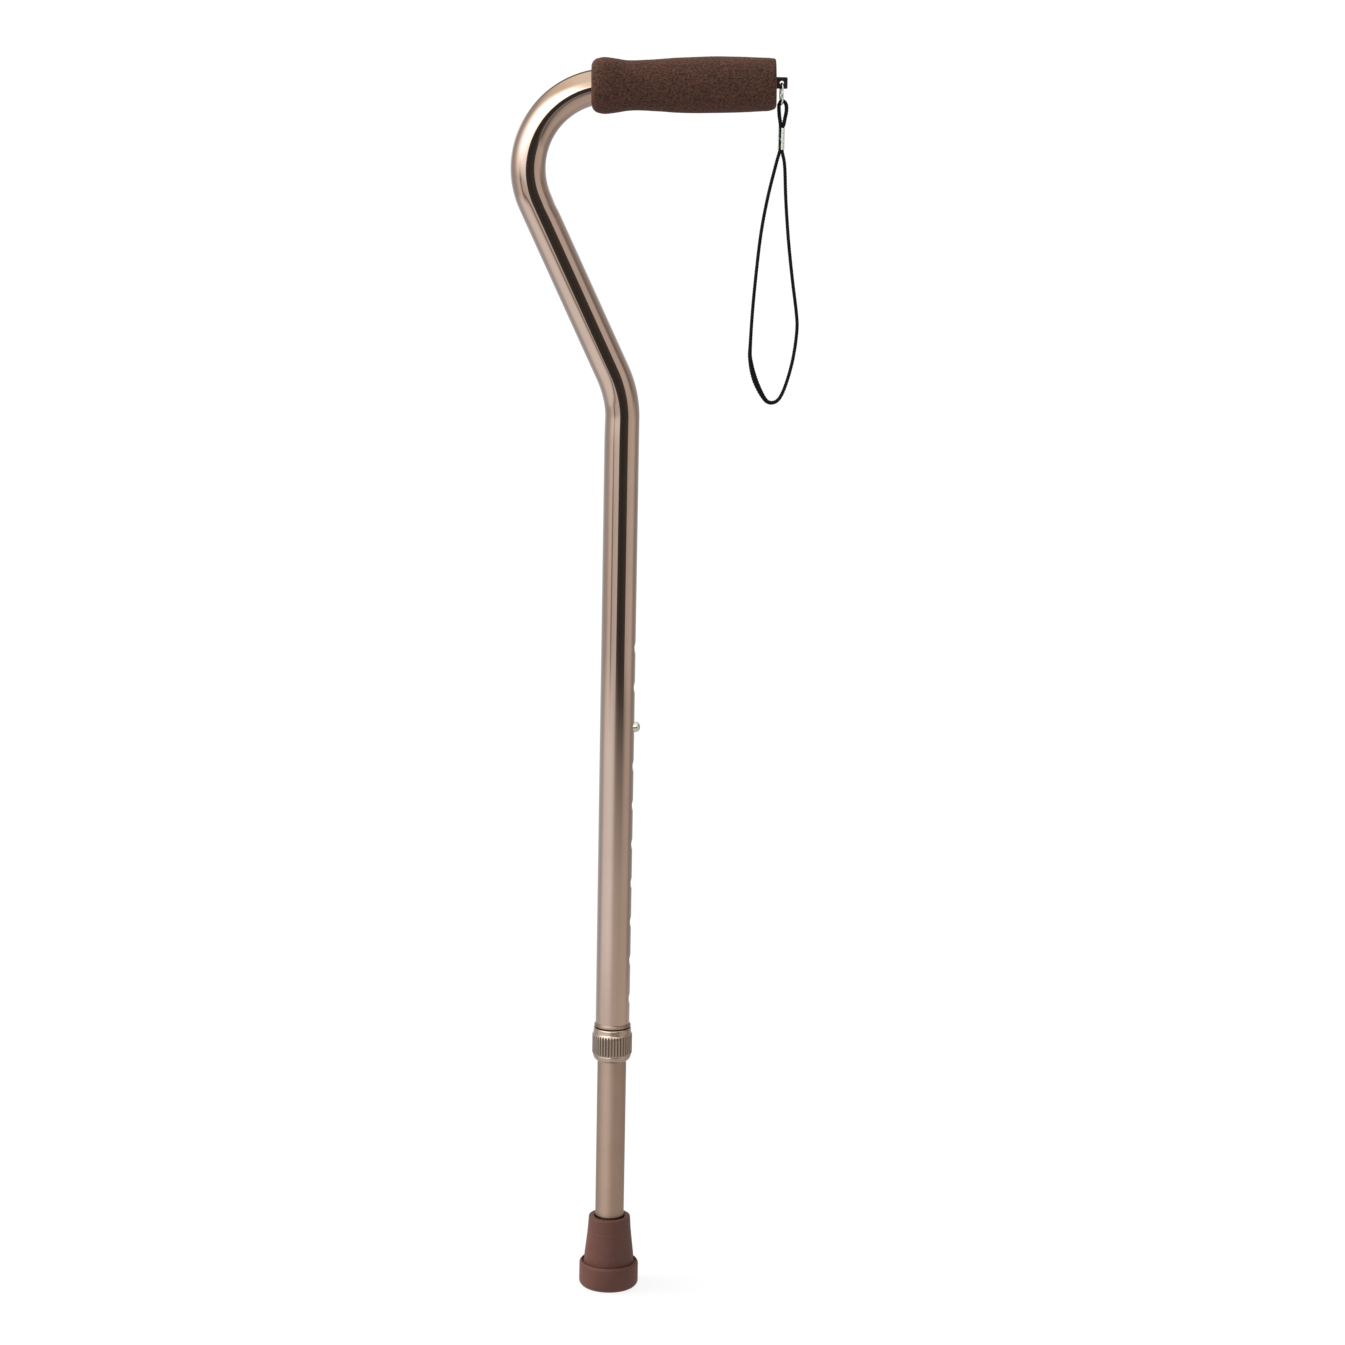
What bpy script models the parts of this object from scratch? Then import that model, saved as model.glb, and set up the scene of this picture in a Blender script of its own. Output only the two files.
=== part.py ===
"""Offset-handle walking cane: height-adjustable aluminium tubes, foam grip, rubber tip, wrist strap.

The origin is the middle of the rubber tip's sole. +Z is up along the shaft, and +X points to the
front of the handle. Lengths are in metres. Every physical piece is one object.
"""

import math

import bmesh
import bpy
from mathutils import Matrix, Vector

MM = 0.001
GAP = 0.3 * MM  # clearance between pieces that touch or slide

# Tubes
OUTER_RADIUS = 10.8 * MM
OUTER_WALL = 1.3 * MM
INNER_RADIUS = 9.2 * MM
INNER_WALL = 1.2 * MM
BORE_RADIUS = OUTER_RADIUS - OUTER_WALL
LOWER_BORE_RADIUS = INNER_RADIUS - INNER_WALL
OUTER_BOTTOM_Z = 163.0 * MM
INNER_BOTTOM_Z = 9.8 * MM
INNER_TOP_Z = 395.0 * MM

# The offset handle's centreline: straight shaft, lower bend, slant, top bend, handle
LOWER_BEND_Z = 581.4 * MM
LOWER_BEND_RADIUS = 66.0 * MM
TOP_BEND_CENTRE = Vector((-9.6 * MM, 0, 719.8 * MM))
TOP_BEND_RADIUS = 50.2 * MM
HANDLE_RISE = math.radians(1.5)
HANDLE_END_X = 88.0 * MM

# Height adjustment
HOLE_COUNT = 10
HOLE_PITCH = 25.4 * MM
HOLE_TOP_Z = 421.4 * MM
HOLE_RADIUS = 3.7 * MM
BUTTON_HOLE = 2  # the cane is set to its third hole from the top
BUTTON_Z = HOLE_TOP_Z - BUTTON_HOLE * HOLE_PITCH
BUTTON_RADIUS = 3.35 * MM
BUTTON_TIP_X = 14.4 * MM
BUTTON_DOME_RADIUS = 2.2 * MM
BUTTON_FLANGE_RADIUS = 4.2 * MM
BUTTON_FLANGE_X = 6.4 * MM
BUTTON_BACK_X = 5.6 * MM
SPRING_X = 5.05 * MM  # the middle of the leaf behind the button
SPRING_WIDTH = 7.0 * MM
SPRING_THICKNESS = 0.5 * MM
SPRING_BEND_RADIUS = 2.2 * MM
SPRING_BEND_Z = BUTTON_Z - 46.0 * MM
SPRING_TOP_Z = BUTTON_Z + 9.0 * MM

# Lock nut
NUT_TOP_Z = 174.4 * MM
NUT_BOTTOM_Z = 152.5 * MM
NUT_RADIUS = 13.05 * MM
NUT_BORE_RADIUS = OUTER_RADIUS + GAP
FLUTE_COUNT = 40
FLUTE_CUTTER_RADIUS = 0.62 * MM
FLUTE_CUTTER_OFFSET = 0.12 * MM  # from the nut's surface out to the cutters' axes
THREAD_PITCH = 1.5 * MM
THREAD_DEPTH = 0.4 * MM
THREAD_TURNS = 6
THREAD_START_Z = OUTER_BOTTOM_Z + 1.3 * MM
GROOVE_HALF_WIDTH = 0.55 * MM
COLLAR_HEIGHT = 3.8 * MM
COLLET_TOP_Z = 162.7 * MM
COLLET_CONE_Z = 159.3 * MM
COLLET_BOTTOM_Z = 155.4 * MM
COLLET_RADIUS = 10.7 * MM
COLLET_BOTTOM_RADIUS = 9.9 * MM
COLLET_BORE_RADIUS = INNER_RADIUS + 0.2 * MM
COLLET_SLIT = 1.6 * MM

# Grip, plug and strap
GRIP_REAR_X = -21.7 * MM
GRIP_LENGTH = 112.2 * MM
PLUG_SHANK_LENGTH = 18.5 * MM
PLUG_FACE_THICKNESS = 2.2 * MM
TAB_FRONT_X = 97.3 * MM
TAB_THICKNESS = 4.0 * MM
TAB_BOTTOM_Z = 770.1 * MM
TAB_TOP_Z = 777.0 * MM
TAB_HOLE = Vector((93.8 * MM, 0, 773.6 * MM))
TAB_HOLE_RADIUS = 1.7 * MM
RING_RADIUS = 6.33 * MM
RING_WIRE_RADIUS = 0.65 * MM
RING_CENTRE = TAB_HOLE - Vector((0, 0, RING_RADIUS + GAP))
RING_PIVOT = RING_CENTRE + Vector((0, 0, RING_RADIUS))
CORD_RADIUS = 0.8 * MM
FERRULE_X = 94.25 * MM
FERRULE_BOTTOM_Z = 733.2 * MM
FERRULE_TOP_Z = 746.3 * MM
STRAND_OFFSET = 0.85 * MM

# Rubber tip
TIP_TOP_Z = 47.0 * MM
TIP_FLANGE_RADIUS = 19.0 * MM
SOCKET_BOTTOM_Z = 8.0 * MM

TUBE_SIDES = 32
LOWER_BEND_STEPS = 5
TOP_BEND_STEPS = 19
HOLE_CUTTER_DEPTH = 8.0 * MM

# The wrist cord's centreline: up out of the ferrule, over the ring, back down through the
# ferrule, round the hanging loop and up into the ferrule again. x and z, in millimetres.
CORD_ROUTE_MM = [
    (93.4, 740.3),
    (93.4, 744.0),
    (93.4, 747.4),
    (92.6, 752.4),
    (92.1, 757.0),
    (92.2, 760.7),
    (94.2, 762.8),
    (96.3, 760.6),
    (96.6, 756.6),
    (95.8, 752.0),
    (95.1, 747.4),
    (95.1, 744.0),
    (95.1, 735.0),
    (95.2, 731.5),
    (96.8, 723.0),
    (98.0, 702.5),
    (100.2, 678.0),
    (103.2, 654.0),
    (106.2, 633.0),
    (106.7, 622.0),
    (104.8, 605.5),
    (101.0, 590.0),
    (96.9, 580.4),
    (92.2, 577.6),
    (87.6, 580.2),
    (81.7, 591.5),
    (78.5, 604.0),
    (78.3, 614.0),
    (79.6, 641.0),
    (82.8, 678.0),
    (86.6, 702.5),
    (91.4, 724.0),
    (93.3, 731.5),
    (93.4, 735.0),
    (93.4, 739.3),
]
RING_STRETCH = 12  # the route's points up to here make the small loop through the ring
RING_STRETCH_POINTS = 26
LOOP_STRETCH_POINTS = 58


def make_collection(name):
    collection = bpy.data.collections.new(name)
    bpy.context.scene.collection.children.link(collection)
    return collection


for leftover in list(bpy.data.objects):
    bpy.data.objects.remove(leftover, do_unlink=True)
CANE = make_collection("offset_handle_cane")
CUTTERS = make_collection("cutters")


def make_material(name, color, roughness, metallic=0.0):
    material = bpy.data.materials.new(name)
    material.use_nodes = True
    shader = material.node_tree.nodes["Principled BSDF"]
    shader.inputs["Base Color"].default_value = (*color, 1.0)
    shader.inputs["Roughness"].default_value = roughness
    shader.inputs["Metallic"].default_value = metallic
    return material


BRONZE = make_material("bronze_anodised", (0.44, 0.33, 0.26), 0.22, 1.0)
BRONZE_SATIN = make_material("bronze_satin", (0.34, 0.26, 0.20), 0.38, 1.0)
FOAM = make_material("brown_foam", (0.070, 0.030, 0.024), 0.9)
RUBBER = make_material("brown_rubber", (0.125, 0.058, 0.045), 0.65)
BLACK_PLASTIC = make_material("black_plastic", (0.025, 0.017, 0.015), 0.45)
NYLON = make_material("nylon", (0.62, 0.60, 0.55), 0.5)
NICKEL = make_material("nickel", (0.72, 0.70, 0.66), 0.2, 1.0)
STEEL = make_material("spring_steel", (0.48, 0.48, 0.50), 0.35, 1.0)
CORD = make_material("black_cord", (0.012, 0.012, 0.013), 0.8)


# --- helpers ---------------------------------------------------------------------------------


def pivot(name, location, parent=None):
    """An empty on a joint's axis, which carries the pieces that move about it."""
    empty = bpy.data.objects.new(name, None)
    empty.empty_display_size = 10 * MM
    empty.location = location
    CANE.objects.link(empty)
    if parent:
        carry(empty, parent)
    return empty


def carry(child, parent):
    """Parents the child to the empty and leaves it where it is."""
    child.parent = parent
    child.matrix_parent_inverse = Matrix.Translation(-parent.location)


def place(obj, material, parent):
    """Files a finished piece under the cane, on the empty that carries it."""
    obj.data.materials.clear()
    obj.data.materials.append(material)
    CANE.objects.link(obj)
    carry(obj, parent)
    return obj


def as_cutter(obj):
    obj.hide_render = True
    obj.display_type = "WIRE"
    CUTTERS.objects.link(obj)
    return obj


def smooth(obj, sharp_degrees=35.0):
    obj.data.shade_smooth()
    obj.data.set_sharp_from_angle(angle=math.radians(sharp_degrees))


def cut(obj, cutter, name, operation="DIFFERENCE"):
    modifier = obj.modifiers.new(name, "BOOLEAN")
    modifier.operation = operation
    modifier.object = cutter
    modifier.solver = "EXACT"


def mesh_object(name, bm):
    mesh = bpy.data.meshes.new(name)
    bm.to_mesh(mesh)
    bm.free()
    return bpy.data.objects.new(name, mesh)


def turned(name, profile_mm, steps=TUBE_SIDES, ring=True, frame=None):
    """A solid of revolution about Z. The profile, (radius, z) in millimetres, runs down its outer side.

    A ring's profile closes on itself; the others start and end on the axis.
    """
    bm = bmesh.new()
    points = [bm.verts.new((r * MM, 0, z * MM)) for r, z in profile_mm]
    for first, second in zip(points, points[1:]):
        bm.edges.new((first, second))
    if ring:
        bm.edges.new((points[-1], points[0]))
    obj = mesh_object(name, bm)
    screw = obj.modifiers.new("turn", "SCREW")
    screw.axis = "Z"
    screw.angle = math.tau
    screw.steps = steps
    screw.render_steps = steps
    screw.use_merge_vertices = True
    screw.merge_threshold = 1e-5
    screw.use_smooth_shade = True
    if frame:
        obj.matrix_world = frame
    return obj


def arc(centre, radius, start_degrees, end_degrees, steps):
    """Points along an arc in a plane, as (across, up) pairs."""
    angles = [
        math.radians(start_degrees + (end_degrees - start_degrees) * i / steps)
        for i in range(steps + 1)
    ]
    return [
        (centre[0] + radius * math.cos(a), centre[1] + radius * math.sin(a)) for a in angles
    ]


def swept(name, points, radius, bevel_resolution, shares=None):
    """A round bar along the points, as a curve object with filled caps.

    shares scales the radius at each point.
    """
    curve = bpy.data.curves.new(name, "CURVE")
    curve.dimensions = "3D"
    curve.bevel_depth = radius
    curve.bevel_resolution = bevel_resolution
    curve.use_fill_caps = True
    spline = curve.splines.new("POLY")
    spline.points.add(len(points) - 1)
    for point, position, share in zip(spline.points, points, shares or [1.0] * len(points)):
        point.co = (*position, 1.0)
        point.radius = share
    return bpy.data.objects.new(name, curve)


def swept_mesh(name, points, radius, sides, shares=None):
    """The same bar as a closed mesh, so that it can be cut or be a cutter."""
    curve_object = swept(name + "_curve", points, radius, (sides - 4) // 2, shares)
    CUTTERS.objects.link(curve_object)
    graph = bpy.context.evaluated_depsgraph_get()
    mesh = bpy.data.meshes.new_from_object(curve_object.evaluated_get(graph))
    bm = bmesh.new()
    bm.from_mesh(mesh)
    bmesh.ops.remove_doubles(bm, verts=bm.verts, dist=1e-6)
    bm.to_mesh(mesh)
    bm.free()
    obj = bpy.data.objects.new(name, mesh)
    obj.matrix_world = curve_object.matrix_world
    bpy.data.objects.remove(curve_object)
    return obj


def cylinder(bm, radius, depth, matrix, sides=16):
    bmesh.ops.create_cone(
        bm,
        cap_ends=True,
        segments=sides,
        radius1=radius,
        radius2=radius,
        depth=depth,
        matrix=matrix,
    )


def box(bm, low, high):
    low, high = Vector(low), Vector(high)
    size = high - low
    matrix = Matrix.Translation((low + high) / 2) @ Matrix.Diagonal((*size, 1.0))
    bmesh.ops.create_cube(bm, size=1.0, matrix=matrix)


# --- the handle's centreline -----------------------------------------------------------------


def slant_angle():
    """How far the slant leans back: it leaves the lower bend's corner and touches the top bend."""
    reach = TOP_BEND_CENTRE - Vector((0, 0, LOWER_BEND_Z))
    return math.asin(TOP_BEND_RADIUS / reach.length) - math.atan2(reach.x, reach.z)


def handle_frame():
    """A frame whose +Z runs along the handle to the front, from the top bend's end."""
    turn = Matrix.Rotation(math.pi / 2 - HANDLE_RISE, 4, "Y")
    offset = Vector((-math.sin(HANDLE_RISE), 0, math.cos(HANDLE_RISE))) * TOP_BEND_RADIUS
    return Matrix.Translation(TOP_BEND_CENTRE + offset) @ turn


def handle_point(x):
    """The point of the handle's axis at this x."""
    start = handle_frame().translation
    return Vector((x, 0, start.z + (x - start.x) * math.tan(HANDLE_RISE)))


def handle_path(bottom_z, end_x):
    """The tube's centreline from the bottom of the shaft to the front of the handle."""
    slant = slant_angle()
    tangent = LOWER_BEND_RADIUS * math.tan(slant / 2)
    lower = arc(
        (-LOWER_BEND_RADIUS, LOWER_BEND_Z - tangent),
        LOWER_BEND_RADIUS,
        0,
        math.degrees(slant),
        LOWER_BEND_STEPS,
    )
    top_centre = (TOP_BEND_CENTRE.x, TOP_BEND_CENTRE.z)
    top = arc(
        top_centre,
        TOP_BEND_RADIUS,
        180 + math.degrees(slant),
        90 + math.degrees(HANDLE_RISE),
        TOP_BEND_STEPS,
    )
    points = [(0.0, bottom_z), *lower, *top]
    end = handle_point(end_x)
    points.append((end.x, end.z))
    return [Vector((x, 0, z)) for x, z in points]


# --- upper section ---------------------------------------------------------------------------


def adjustment_holes():
    """Ten holes through the front wall."""
    bm = bmesh.new()
    turn = Matrix.Rotation(math.pi / 2, 4, "Y")
    for index in range(HOLE_COUNT):
        centre = Vector((BORE_RADIUS, 0, HOLE_TOP_Z - index * HOLE_PITCH))
        cylinder(bm, HOLE_RADIUS, HOLE_CUTTER_DEPTH, Matrix.Translation(centre) @ turn)
    return mesh_object("adjustment_holes", bm)


def thread_rings():
    """Edges and roots of the grooves round the tube's end, as (height, share of the radius)."""
    root = 1 - THREAD_DEPTH / OUTER_RADIUS
    rings = []
    for turn in range(THREAD_TURNS):
        middle = THREAD_START_Z + turn * THREAD_PITCH
        crests = [(middle + side * GROOVE_HALF_WIDTH, 1.0) for side in (-1, 1)]
        rings += [crests[0], (middle, root), crests[1]]
    return rings


def build_handle_tube():
    path = handle_path(OUTER_BOTTOM_Z, HANDLE_END_X)
    thread = thread_rings()
    points = [path[0], *(Vector((0, 0, z)) for z, _ in thread), *path[1:]]
    shares = [1.0, *(share for _, share in thread), *(1.0 for _ in path[1:])]
    tube = swept_mesh("handle_tube", points, OUTER_RADIUS, TUBE_SIDES, shares)
    overrun = 5 * MM
    bore = swept_mesh(
        "handle_bore",
        handle_path(OUTER_BOTTOM_Z - overrun, HANDLE_END_X + overrun),
        BORE_RADIUS,
        TUBE_SIDES,
    )
    cut(tube, as_cutter(bore), "bore")
    cut(tube, as_cutter(adjustment_holes()), "holes")
    smooth(tube)
    return place(tube, BRONZE, UPPER_SECTION)


def build_collar_ring():
    """The flared ring that the tube carries just above the lock nut."""
    inside = (OUTER_RADIUS + GAP) / MM
    bottom = (NUT_TOP_Z + GAP) / MM
    profile = [
        (inside, bottom + COLLAR_HEIGHT / MM),
        (inside + 0.25, bottom + COLLAR_HEIGHT / MM),
        (inside + 0.45, bottom + 2.4),
        (inside + 0.95, bottom + 0.9),
        (inside + 1.1, bottom + 0.4),
        (inside + 1.05, bottom),
        (inside, bottom),
    ]
    return place(turned("collar_ring", profile), BRONZE, UPPER_SECTION)


def build_foam_grip():
    """A soft sleeve with a fuller rear end and a shallow waist for the fingers."""
    length = GRIP_LENGTH / MM
    rear = arc((12.2, 4.4), 4.4, -90, -15, 4)
    front = arc((14.2, length - 1.6), 1.6, 20, 90, 3)
    side = [
        (17.2, 8.0),
        (16.3, 15.4),
        (15.3, 22.0),
        (15.2, 31.0),
        (15.8, 40.0),
        (16.5, 51.0),
        (17.05, 66.0),
        (17.05, 82.0),
        (16.6, 95.0),
        (16.1, 106.5),
    ]
    outline = [(0.0, 0.0), *rear, *side, *front, (0.0, length)]
    start = handle_frame().translation
    back = (GRIP_REAR_X - start.x) / math.cos(HANDLE_RISE)
    frame = handle_frame() @ Matrix.Translation((0, 0, back))
    grip = turned("foam_grip", outline[::-1], steps=36, ring=False, frame=frame)
    bore = swept_mesh(
        "grip_bore",
        handle_path(LOWER_BEND_Z, HANDLE_END_X + 20 * MM)[LOWER_BEND_STEPS + 1 :],
        OUTER_RADIUS + GAP,
        TUBE_SIDES,
    )
    cut(grip, as_cutter(bore), "bore")
    return place(grip, FOAM, UPPER_SECTION)


def build_handle_plug():
    """The end plug in the handle, with the strap's tab on its face."""
    tube_end = (HANDLE_END_X - handle_frame().translation.x) / math.cos(HANDLE_RISE) / MM
    shank = (BORE_RADIUS - GAP) / MM
    face = (OUTER_RADIUS - 0.2 * MM) / MM
    front = tube_end + PLUG_FACE_THICKNESS / MM
    back = tube_end - PLUG_SHANK_LENGTH / MM
    profile = [
        (0.0, front),
        (face - 0.6, front),
        (face, front - 0.6),
        (face, tube_end + GAP / MM),
        (shank, tube_end + GAP / MM),
        (shank, back + 1.5),
        (shank - 1.0, back),
        (0.0, back),
    ]
    plug = turned("handle_plug", profile, ring=False, frame=handle_frame())
    bm = bmesh.new()
    half = TAB_THICKNESS / 2
    tab_root = HANDLE_END_X + 1.0 * MM
    box(bm, (tab_root, -half, TAB_BOTTOM_Z), (TAB_FRONT_X, half, TAB_TOP_Z))
    tab = mesh_object("plug_tab", bm)
    rounding = tab.modifiers.new("rounding", "BEVEL")
    rounding.width = 0.7 * MM
    rounding.segments = 2
    cut(plug, as_cutter(tab), "tab", "UNION")
    bm = bmesh.new()
    turn = Matrix.Rotation(math.pi / 2, 4, "X")
    cylinder(bm, TAB_HOLE_RADIUS, HOLE_CUTTER_DEPTH, Matrix.Translation(TAB_HOLE) @ turn, 20)
    cut(plug, as_cutter(mesh_object("tab_hole", bm)), "hole")
    return place(plug, BLACK_PLASTIC, UPPER_SECTION)


# --- wrist strap -----------------------------------------------------------------------------


def build_strap_ring():
    """A closed wire ring through the tab's hole, hanging across the cane."""
    bpy.ops.mesh.primitive_torus_add(
        major_segments=32,
        minor_segments=8,
        major_radius=RING_RADIUS,
        minor_radius=RING_WIRE_RADIUS,
        location=RING_CENTRE,
        rotation=(0, math.pi / 2, 0),
    )
    ring = bpy.context.object
    ring.name = "strap_ring"
    bpy.context.collection.objects.unlink(ring)
    smooth(ring, 60)
    return place(ring, NICKEL, RING_AXIS)


def smooth_route(route, count):
    """Evenly spaced points on the Catmull-Rom curve through the route's points."""
    knots = [2 * route[0] - route[1], *route, 2 * route[-1] - route[-2]]
    fine = []
    for before, start, end, after in zip(knots, knots[1:], knots[2:], knots[3:]):
        for step in range(20):
            t = step / 20
            fine.append(
                0.5
                * (
                    2 * start
                    + (end - before) * t
                    + (2 * before - 5 * start + 4 * end - after) * t**2
                    + (3 * start - before - 3 * end + after) * t**3
                )
            )
    fine.append(route[-1])
    reached = [0.0]
    for first, second in zip(fine, fine[1:]):
        reached.append(reached[-1] + (second - first).length)
    points, index = [], 0
    for step in range(count):
        target = reached[-1] * step / (count - 1)
        while index < len(fine) - 2 and reached[index + 1] < target:
            index += 1
        span = reached[index + 1] - reached[index]
        points.append(fine[index].lerp(fine[index + 1], (target - reached[index]) / span))
    return points


def build_wrist_cord():
    route = [Vector((x * MM, 0, z * MM)) for x, z in CORD_ROUTE_MM]
    points = smooth_route(route[:RING_STRETCH], RING_STRETCH_POINTS)
    points += smooth_route(route[RING_STRETCH - 1 :], LOOP_STRETCH_POINTS)[1:]
    cord = swept("wrist_cord", points, CORD_RADIUS, 2)
    return place(cord, CORD, STRAP_AXIS)


def stadium(curve, half_length, radius):
    """Adds a closed outline with round ends to a flat curve."""
    points = arc((half_length, 0), radius, -90, 90, 10) + arc(
        (-half_length, 0), radius, 90, 270, 10
    )
    spline = curve.splines.new("POLY")
    spline.points.add(len(points) - 1)
    for point, (across, up) in zip(spline.points, points):
        point.co = (across, up, 0, 1)
    spline.use_cyclic_u = True


def build_cord_ferrule():
    """The crimped sleeve that closes the cord's loop: a flat tube round both strands."""
    curve = bpy.data.curves.new("cord_ferrule", "CURVE")
    curve.dimensions = "2D"
    curve.fill_mode = "BOTH"
    curve.extrude = (FERRULE_TOP_Z - FERRULE_BOTTOM_Z) / 2
    hole_radius = CORD_RADIUS + 0.1 * MM
    stadium(curve, STRAND_OFFSET, hole_radius + 0.3 * MM)
    stadium(curve, STRAND_OFFSET, hole_radius)
    ferrule = bpy.data.objects.new("cord_ferrule", curve)
    ferrule.location = (FERRULE_X, 0, (FERRULE_TOP_Z + FERRULE_BOTTOM_Z) / 2)
    return place(ferrule, NICKEL, STRAP_AXIS)


# --- height lock -----------------------------------------------------------------------------


def build_lock_nut():
    top = NUT_TOP_Z / MM
    bottom = NUT_BOTTOM_Z / MM
    radius = NUT_RADIUS / MM
    bore = NUT_BORE_RADIUS / MM
    mouth = (INNER_RADIUS + GAP) / MM
    profile = [
        (bore, top),
        (bore + 0.75, top),
        (bore + 1.1, top - 0.5),
        (bore + 1.15, top - 3.3),
        (bore + 0.95, top - 3.9),
        (bore + 0.95, top - 4.4),
        (radius - 0.2, top - 5.1),
        (radius, top - 5.7),
        (radius, bottom + 5.0),
        (radius - 0.3, bottom + 4.4),
        (radius - 0.9, bottom + 4.0),
        (radius - 0.95, bottom + 3.2),
        (radius - 1.5, bottom + 1.8),
        (radius - 2.75, bottom),
        (mouth, bottom),
        (mouth, bottom + 0.6),
        (bore, bottom + 6.4),
    ]
    nut = turned("lock_nut", profile, steps=FLUTE_COUNT)
    length = (NUT_TOP_Z - NUT_BOTTOM_Z) * 1.4
    bm = bmesh.new()
    for index in range(FLUTE_COUNT):
        angle = math.tau * (index + 0.5) / FLUTE_COUNT
        centre = Vector((math.cos(angle), math.sin(angle), 0))
        centre *= NUT_RADIUS + FLUTE_CUTTER_OFFSET
        centre.z = (NUT_TOP_Z + NUT_BOTTOM_Z) / 2
        turn = Matrix.Rotation(angle, 4, "Z")
        cylinder(bm, FLUTE_CUTTER_RADIUS, length, Matrix.Translation(centre) @ turn, 6)
    cut(nut, as_cutter(mesh_object("flutes", bm)), "flutes")
    return place(nut, BRONZE_SATIN, NUT_AXIS)


def build_collet():
    """The split ring that the nut's cone squeezes on to the lower tube."""
    profile = [
        (COLLET_BORE_RADIUS, COLLET_TOP_Z),
        (COLLET_RADIUS, COLLET_TOP_Z),
        (COLLET_RADIUS, COLLET_CONE_Z),
        (COLLET_BOTTOM_RADIUS, COLLET_BOTTOM_Z),
        (COLLET_BORE_RADIUS, COLLET_BOTTOM_Z),
    ]
    collet = turned("collet", [(radius / MM, z / MM) for radius, z in profile])
    bm = bmesh.new()
    half = COLLET_SLIT / 2
    reach = 5 * MM
    box(
        bm,
        (-COLLET_RADIUS - reach, -half, COLLET_BOTTOM_Z - reach),
        (-COLLET_BORE_RADIUS + reach, half, COLLET_TOP_Z + reach),
    )
    cut(collet, as_cutter(mesh_object("collet_slit", bm)), "slit")
    return place(collet, NYLON, COLLET_AXIS)


def build_lower_tube():
    outside = INNER_RADIUS / MM
    inside = LOWER_BORE_RADIUS / MM
    top = INNER_TOP_Z / MM
    bottom = INNER_BOTTOM_Z / MM
    profile = [(inside, top), (outside - 0.4, top), (outside, top - 0.6)]
    profile += [(outside, bottom), (inside, bottom)]
    tube = turned("lower_tube", profile)
    bm = bmesh.new()
    turn = Matrix.Rotation(math.pi / 2, 4, "Y")
    centre = Vector((LOWER_BORE_RADIUS, 0, BUTTON_Z))
    cylinder(bm, HOLE_RADIUS, HOLE_CUTTER_DEPTH, Matrix.Translation(centre) @ turn, 20)
    cut(tube, as_cutter(mesh_object("button_hole", bm)), "hole")
    return place(tube, BRONZE_SATIN, LOWER_SECTION)


def build_snap_button():
    """A domed pin with a flange that keeps it inside the lower tube."""
    tip = BUTTON_TIP_X / MM
    shank = BUTTON_RADIUS / MM
    rounding = BUTTON_DOME_RADIUS / MM
    flange = BUTTON_FLANGE_RADIUS / MM
    step = BUTTON_FLANGE_X / MM
    back = BUTTON_BACK_X / MM
    dome = arc((shank - rounding, tip - rounding), rounding, 90, 0, 4)
    profile = [(0.0, tip), *dome, (shank, step), (flange, step), (flange, back), (0.0, back)]
    frame = Matrix.Translation((0, 0, BUTTON_Z)) @ Matrix.Rotation(math.pi / 2, 4, "Y")
    button = turned("snap_button", profile, steps=20, ring=False, frame=frame)
    return place(button, NICKEL, BUTTON_AXIS)


def build_button_spring():
    """A strip bent to a V, which pushes the button out from inside the lower tube."""
    bend = arc((0.0, SPRING_BEND_Z), SPRING_BEND_RADIUS, -15, -165, 6)
    front = [(SPRING_X, SPRING_TOP_Z), (SPRING_X, BUTTON_Z - 8.0 * MM)]
    back = [(-6.5 * MM, BUTTON_Z), (-6.3 * MM, SPRING_TOP_Z)]
    half = SPRING_WIDTH / 2
    bm = bmesh.new()
    rows = [
        [bm.verts.new((x, side, z)) for side in (-half, half)] for x, z in front + bend + back
    ]
    for first, second in zip(rows, rows[1:]):
        bm.faces.new((first[0], first[1], second[1], second[0]))
    spring = mesh_object("button_spring", bm)
    solid = spring.modifiers.new("thickness", "SOLIDIFY")
    solid.thickness = SPRING_THICKNESS
    solid.offset = 0.0
    solid.use_even_offset = True
    return place(spring, STEEL, LOWER_SECTION)


# --- foot ------------------------------------------------------------------------------------


def build_rubber_tip():
    """The ferrule: a socket on the tube, a cone, a wide flange and a ringed sole."""
    rim = TIP_TOP_Z / MM
    flange = TIP_FLANGE_RADIUS / MM
    socket = (INNER_RADIUS + GAP) / MM
    floor = SOCKET_BOTTOM_Z / MM
    profile = [(0.0, floor), (socket, floor), (socket, rim - 0.8), (socket + 0.4, rim)]
    profile += [(12.9, rim), (13.3, rim - 0.3), (13.45, rim - 1.0)]
    profile += [(13.95, 37.0), (14.05, 36.0), (15.3, 20.5), (15.6, 17.6), (16.0, 17.1)]
    profile += arc((flange - 1.8, 15.2), 1.8, 80, 0, 4)
    profile += arc((flange - 2.4, 2.4), 2.4, 0, -90, 4)
    for outer, inner in ((14.6, 12.2), (10.2, 8.0)):
        profile += [(outer, 0.0), (outer - 0.3, 1.2), (inner + 0.3, 1.2), (inner, 0.0)]
    profile.append((0.0, 0.0))
    tip = turned("rubber_tip", profile, steps=40, ring=False)
    return place(tip, RUBBER, LOWER_SECTION)


def build_tip_washer():
    """The steel disc that keeps the tube's edge from cutting through the rubber."""
    radius = INNER_RADIUS / MM
    low = SOCKET_BOTTOM_Z / MM + GAP / MM
    high = INNER_BOTTOM_Z / MM - GAP / MM
    profile = [(0.0, high), (radius, high), (radius, low), (0.0, low)]
    washer = turned("tip_washer", profile, ring=False)
    return place(washer, STEEL, LOWER_SECTION)


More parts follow.
